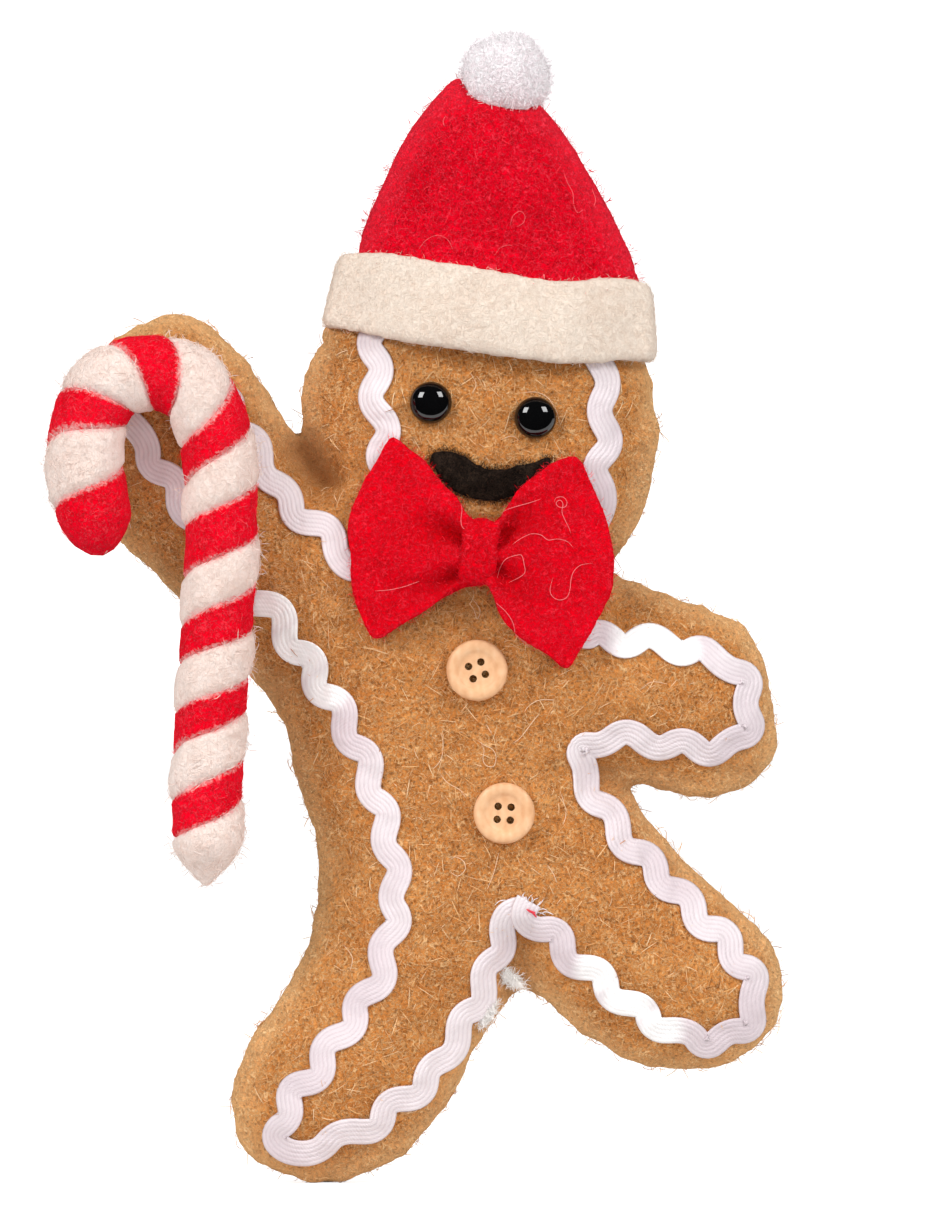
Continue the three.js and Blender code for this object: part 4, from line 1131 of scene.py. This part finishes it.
BOW_FELT = 1.7 * MM
BOW_AHEAD = 19 * MM
BOW_CLEAR = 1.2 * MM
PUFF = 4.9 * MM
PINCH = 3.8 * MM
DROOP = 0.7 * MM
# The valley depth at which the shade painted into the bow's folds is at its darkest
FULL_SHADE_DEPTH = 3 * MM
WING_COLUMNS, WING_ROWS = 48, 56
LEFT_WING = {
    "over": [
        (481, 526), (474, 520), (466, 512), (457, 497), (447, 487), (438, 476), (426, 461), (411, 449),
        (400, 440), (393, 436),
    ],
    "past": [
        (393, 436), (386, 441), (374, 464), (363, 480), (351, 505), (347, 522), (347, 537), (350, 560),
        (350, 575), (354, 602), (361, 621), (368, 635), (375, 640),
    ],
    "under": [
        (479, 579), (470, 581), (461, 583), (449, 591), (440, 601), (426, 612), (407, 623), (390, 634),
        (381, 639), (375, 640),
    ],
    "valleys": [(0.62, 0.60, 3.4 * MM), (0.10, 0.24, 3.0 * MM)],
}
RIGHT_WING = {
    "over": [
        (481, 526), (488, 525), (499, 519), (503, 511), (508, 504), (516, 491), (527, 480), (539, 472),
        (552, 463), (566, 457), (576, 456),
    ],
    "past": [
        (576, 456), (583, 463), (589, 476), (596, 491), (602, 506), (608, 522), (612, 537), (615, 552),
        (615, 572), (612, 593), (604, 612), (596, 627), (587, 642), (577, 658), (571, 667),
    ],
    "under": [
        (479, 579), (485, 584), (489, 589), (494, 598), (499, 613), (506, 625), (518, 637), (531, 646),
        (547, 656), (560, 666), (567, 669), (571, 667),
    ],
    "valleys": [(0.70, 0.80, 3.6 * MM), (0.36, 0.26, 2.6 * MM)],
}


def along_line(line, share):
    at = share * (len(line) - 1)
    first = min(int(at), len(line) - 2)
    return line[first].lerp(line[first + 1], at - first)


def wing_place(wing, out, up):
    """A place on a wing: out from the knot to the outer edge, and up from the lower edge to the upper one.

    With it comes how much shade is painted there, by how deep in a valley it lies.
    """
    over, past, under = wing["lines"]
    place = along_line(under, out).lerp(along_line(over, out), up)
    place += (along_line(past, 1 - up) - under[-1].lerp(over[-1], up)) * out ** 2.2
    puff = PUFF * math.sin(math.pi * out ** 0.8) * (0.62 + 0.38 * math.sin(math.pi * up) ** 0.6)
    pinch = PINCH * math.exp(-((out / 0.25) ** 2))
    valley = 0.0
    for at_knot, at_edge, depth in wing["valleys"]:
        off = (up - at_knot - (at_edge - at_knot) * out) / (0.09 + 0.10 * out)
        valley += depth * math.exp(-(off ** 2) - ((out - 0.20) / 0.36) ** 2)
    droop = DROOP * out * noise.noise(place / (10 * MM))
    place.y = bow_back - BOW_CLEAR - puff - pinch + valley - droop
    return place, min(1, valley / FULL_SHADE_DEPTH)


bow_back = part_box("bow")[1].y
for wing in (LEFT_WING, RIGHT_WING):
    edges = [[seen_at(x, y, BOW_AHEAD) for x, y in wing[edge]] for edge in ("over", "past", "under")]
    wing["lines"] = [curve_through(edge, 0.4 * MM)[0] for edge in edges]
shape = bmesh.new()
# Painted shade: the wings' valleys are darker the deeper they are
crease_shade = shape.verts.layers.float.new("crease_shade")
bmesh.ops.create_grid(shape, x_segments=2 * WING_COLUMNS, y_segments=WING_ROWS, size=0.5)
for vertex in shape.verts:
    out = 2 * vertex.co.x
    wing = RIGHT_WING if out > 0 else LEFT_WING
    vertex.co, vertex[crease_shade] = wing_place(wing, abs(out), vertex.co.y + 0.5)
turned_to_front(shape)
bow = modified(
    from_bmesh("bow_wings", shape), cloth_of(BOW_FELT), ("SUBSURF", {"levels": 1, "render_levels": 1}),
)
roughened(bow, 0.3, 6, 0.13, 0.8)
bow_felt = felt(
    "bow_felt", [(184, 0, 8), (230, 0, 24), (248, 0, 34), (250, 56, 76), (176, 0, 8)],
    1.2, 0.0, 0.1, crease_shade=True,
)
bow_fibre = fibre("bow_fibre", [(196, 0, 12), (232, 0, 26), (248, 4, 38), (250, 66, 82)])
bow.data.materials.append(bow_felt)
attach(bow, "root")
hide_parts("bow")
fibres("bow_fibres", bow, LYING + STANDING, 7000, (0.6, 1.8), 101, bow_fibre, "bow_felt", tilt=0.3)

red_hair = fibre("red_hair", [(246, 128, 132)], 0.5)
hairs("bow_hairs", [
    [
        (553, 577), (550, 590), (553, 597), (560, 600), (567, 597), (570, 589), (571, 579), (574, 571),
        (581, 565), (593, 563),
    ],
    [(501, 514), (506, 510), (518, 506), (529, 503), (541, 499)],
    [
        (554, 503), (556, 498), (563, 497), (567, 502), (565, 507), (559, 507), (556, 503), (560, 500),
        (563, 504), (562, 512), (565, 520), (569, 528), (571, 534),
    ],
    [(512, 545), (520, 539), (531, 534), (541, 535), (548, 540), (558, 539), (568, 542), (574, 549)],
    [(461, 504), (462, 510), (461, 520), (463, 528), (472, 530), (475, 525), (481, 518)],
    [
        (497, 579), (500, 568), (506, 559), (518, 555), (522, 556), (524, 564), (525, 572), (520, 577),
        (508, 583),
    ],
    [(374, 591), (388, 590), (403, 587), (420, 581)],
    [(495, 602), (506, 612), (513, 623), (516, 635), (524, 642), (531, 648)],
], BOW_AHEAD, 0.075 * MM, bow, red_hair)

KNOT_PLACE = seen_at(479, 552, 22 * MM)
KNOT_WIDE, KNOT_DEEP, KNOT_HIGH = 7.4 * MM, 7.8 * MM, 13.4 * MM
KNOT_FELT = 1.2 * MM
KNOT_TILT = Matrix.Rotation(math.radians(7), 3, "Y")


def squared_off(value):
    return math.copysign(abs(value) ** 0.8, value)


knot_low, knot_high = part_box("bow_knot")
shape = bmesh.new()
bmesh.ops.create_grid(shape, x_segments=14, y_segments=72, size=0.5)
for vertex in shape.verts:
    out, angle = 2 * vertex.co.x, 2 * math.pi * vertex.co.y
    belly = 1 - 0.20 * abs(out) ** 2.5
    ahead, up = squared_off(math.cos(angle)) * belly, squared_off(math.sin(angle)) * belly
    vertex.co = (out * KNOT_WIDE / 2, -ahead * KNOT_DEEP / 2, up * KNOT_HIGH / 2)
bmesh.ops.remove_doubles(shape, verts=shape.verts, dist=0.01 * MM)
bmesh.ops.recalc_face_normals(shape, faces=shape.faces)
bmesh.ops.rotate(shape, cent=(0, 0, 0), matrix=KNOT_TILT, verts=shape.verts)
knot_middle = KNOT_PLACE + Vector((0, (knot_low.y + knot_high.y) / 2, 0))
bmesh.ops.translate(shape, vec=knot_middle, verts=shape.verts)
knot = modified(from_bmesh("bow_band", shape), cloth_of(KNOT_FELT))
roughened(knot, 0.3, 3, 0.12, 0.7)
knot.data.materials.append(bow_felt)
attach(knot, "root")
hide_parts("bow_knot")
fibres("band_fibres", knot, LYING + STANDING, 900, (0.8, 1.8), 111, bow_fibre, "bow_felt", tilt=0.3)

# Candy cane: white wool wound thick round a bent wire, with a red band wound in its own groove. Its middle
# line is given at pixels of the picture, from the tip of the shaft round the hook, and each red band as the
# pixel where its middle crosses that line and the share of a turn that it covers there.

CANE = [
    (206, 885), (207, 840), (207, 778), (210, 718), (215, 658), (219, 598), (221, 549), (221, 499),
    (218, 453), (210, 417), (191, 388), (162, 374), (132, 374), (106, 389), (90, 418), (84, 456), (91, 500),
    (103, 555),
]
CANE_AHEAD = 22 * MM
SHAFT_RADIUS = 7.4 * MM
HOOK_RADIUS = 8.1 * MM
CANE_END = 10 * MM
RED_BANDS = [
    (207, 799, 0.53), (211, 712, 0.46), (216, 630, 0.50), (220, 530, 0.64), (216, 438, 0.45),
    (160, 376, 0.54), (90, 418, 0.44), (96, 528, 0.66),
]
CANE_STEP = 0.7 * MM
CANE_AROUND = 64
BAND_END = 3 * MM
FIRST_RED = 8 * MM
RED_FADE_IN = 2 * MM
WOUND_STRAIGHTER = 2.1 * MM
# The wools' radius as a share of the cane's, how much the white one swells, how deep each of them sinks
# where the other lies on top, and how much lower the red one lies
WOOL_SHARE = 0.955
WHITE_SWELL = 0.05
WHITE_SINK = 1.1 * MM
RED_SINK = 2.6 * MM
RED_LOWER = 0.2 * MM
# How soft either wool's edge is, where the border lies and how far it reaches, all as angles, and how the
# band's edge wavers
WHITE_EDGE = 0.35
RED_EDGE = 0.30
BORDER_IN = 0.2
BORDER_REACH = 0.5
WAVER = 0.16
WAVER_SIZE = 5 * MM

cane_low, cane_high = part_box("cane_wool")
cane_depth = (cane_low.y + cane_high.y) / 2
cane_line = [seen_at(x, y, CANE_AHEAD) for x, y in CANE]
cane_stations, cane_ways, cane_length = curve_through(cane_line, CANE_STEP)
cane_last = len(cane_stations) - 1


def distance_at(x, y):
    """How far along the cane its middle line passes a pixel."""
    place = seen_at(x, y, CANE_AHEAD)
    nearest = min(range(cane_last + 1), key=lambda station: (cane_stations[station] - place).length)
    return cane_length * nearest / cane_last


band_distances = [distance_at(x, y) for x, y, share in RED_BANDS]


def turns_wound(distance):
    """How many turns the band has made at a distance from the shaft's tip, counted from the first band."""
    first = 0
    while first < len(RED_BANDS) - 2 and distance > band_distances[first + 1]:
        first += 1
    start, end = band_distances[first], band_distances[first + 1]
    return first + (distance - start) / (end - start)


def band_share(distance):
    """The share of the turn that is red there."""
    turns = min(len(RED_BANDS) - 1, max(0, turns_wound(distance)))
    first = min(int(turns), len(RED_BANDS) - 2)
    share = RED_BANDS[first][2] + (RED_BANDS[first + 1][2] - RED_BANDS[first][2]) * (turns - first)
    return share + 0.5 * clamped((distance - band_distances[-1]) / BAND_END)


def band_edge(centre, distance):
    """The winding's phase at the band's edge."""
    return math.pi * band_share(distance) + WAVER * noise.noise(centre / WAVER_SIZE)


def band_start(distance):
    """How far the red has set in: none at the shaft's tip."""
    return clamped((distance - FIRST_RED) / RED_FADE_IN)


def straighter(angle, distance):
    """How much sooner a band is met on the hook's outer side, where the wool is wound straighter across."""
    hooked = clamped((distance - band_distances[-3]) / (band_distances[-2] - band_distances[-3]))
    return WOUND_STRAIGHTER * hooked ** 2 * (1 - math.cos(angle))


def cane_radius(distance):
    return SHAFT_RADIUS + (HOOK_RADIUS - SHAFT_RADIUS) * clamped(distance / cane_length)


def cane_taper(distance):
    from_tip = clamped(distance / CANE_END)
    from_hook = clamped((cane_length - distance) / CANE_END)
    return (0.08 + 0.92 * math.sin(from_tip * math.pi / 2)) * max(0, from_hook * (2 - from_hook)) ** 0.6


def white_radius(phase, centre, distance):
    inside = (band_edge(centre, distance) - abs(phase)) / WHITE_EDGE
    sink = clamped(0.5 + 0.5 * inside) * band_start(distance)
    bulge = math.cos((abs(abs(phase) - math.pi)) * 0.9)
    return cane_radius(distance) * (WOOL_SHARE + WHITE_SWELL * max(0, bulge)) - WHITE_SINK * sink


def red_radius(phase, centre, distance):
    inside = (band_edge(centre, distance) - abs(phase)) / RED_EDGE
    rise = clamped(0.5 + 0.5 * inside) * band_start(distance)
    return cane_radius(distance) * WOOL_SHARE - RED_SINK * (1 - rise) - RED_LOWER


def wound(name, node, radius_at, material):
    """A closed tube along the cane whose radius depends on the place along it and on the winding's phase.

    It notes how near the border between the two wools each place is, and whether it is on the outside.
    """
    shape = bmesh.new()
    border = shape.verts.layers.float.new("border")
    outer = shape.verts.layers.float.new("outer")
    bmesh.ops.create_grid(shape, x_segments=cane_last, y_segments=CANE_AROUND, size=0.5)
    for vertex in shape.verts:
        station = round((vertex.co.x + 0.5) * cane_last)
        angle = 2 * math.pi * (vertex.co.y + 0.5)
        distance = cane_length * station / cane_last
        phase = angle - math.pi / 2 - 2 * math.pi * turns_wound(distance + straighter(angle, distance))
        phase = (phase + math.pi) % (2 * math.pi) - math.pi
        side = across(cane_ways[station])
        centre = cane_stations[station] + Vector((0, cane_depth, 0))
        off_border = abs(band_edge(centre, distance) - BORDER_IN - abs(phase)) / BORDER_REACH
        vertex[border] = max(0, 1 - off_border) * band_start(distance)
        radius = radius_at(phase, centre, distance)
        outermost = max(of(phase, centre, distance) for of in (white_radius, red_radius))
        vertex[outer] = float(radius >= outermost)
        radius *= cane_taper(distance)
        vertex.co = centre + radius * (side * math.cos(angle) + Vector((0, -1, 0)) * math.sin(angle))
    bmesh.ops.remove_doubles(shape, verts=shape.verts, dist=0.01 * MM)
    bmesh.ops.recalc_face_normals(shape, faces=shape.faces)
    tube = from_bmesh(name, shape)
    roughened(tube, 0.35, 4, 0.14, 0.9)
    tube.data.materials.append(material)
    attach(tube, "root")
    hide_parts(node)
    return tube


white_wool = felt(
    "cane_white_wool",
    [(236, 213, 202), (242, 222, 212), (245, 228, 220), (248, 234, 227), (234, 210, 199)],
    0.5, 0.2, 0.0, relief=0.25, border=((246, 150, 152), 0.6),
)
red_wool = felt(
    "cane_red_wool", [(216, 0, 20), (244, 0, 34), (250, 14, 44), (252, 96, 108), (200, 0, 14)],
    0.8, 0.0, 0.1, border=((250, 196, 192), 0.75),
)
white_fibre = fibre("cane_white_fibre", [(235, 213, 203), (241, 222, 213), (246, 230, 223)])
red_fibre = fibre("cane_red_fibre", [(224, 0, 26), (246, 0, 36), (250, 22, 48), (252, 104, 112)])
wool = wound("cane_wool_winding", "cane_wool", white_radius, white_wool)
stripe = wound("cane_stripe_winding", "cane_stripe", red_radius, red_wool)
WHITE = (white_fibre, "cane_white_wool")
RED = (red_fibre, "cane_red_wool")
for name, tube, strands, count, lengths, seed, kind, outward, tilt, where in (
    ("cane_white_fibres", wool, LYING, 6500, (1.2, 3.2), 121, WHITE, (1, 1, 1), 0.12, "outer"),
    ("cane_white_fringe", wool, STANDING, 1500, (1.6, 3.4), 127, WHITE, (1, 0, 1), 0.7, "outer"),
    ("cane_white_border", wool, LYING + CURLING, 14000, (1.2, 3.2), 125, WHITE, (1, 1, 1), 0.3, "border"),
    ("cane_red_fibres", stripe, LYING + CURLING, 6000, (1.0, 2.6), 131, RED, (1, 1, 1), 0.3, "outer"),
    ("cane_red_border", stripe, LYING + CURLING, 7000, (1.0, 2.4), 135, RED, (1, 1, 1), 0.3, "border"),
):
    fibres(name, tube, strands, count, lengths, seed, *kind, outward, tilt, where=where)

steel = Shader("steel_wire")
steel.set(Base_Color=(0.55, 0.56, 0.58, 1), Metallic=1, Roughness=0.35)
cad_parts["cane_wire"].data.materials.clear()
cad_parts["cane_wire"].data.materials.append(steel.material)
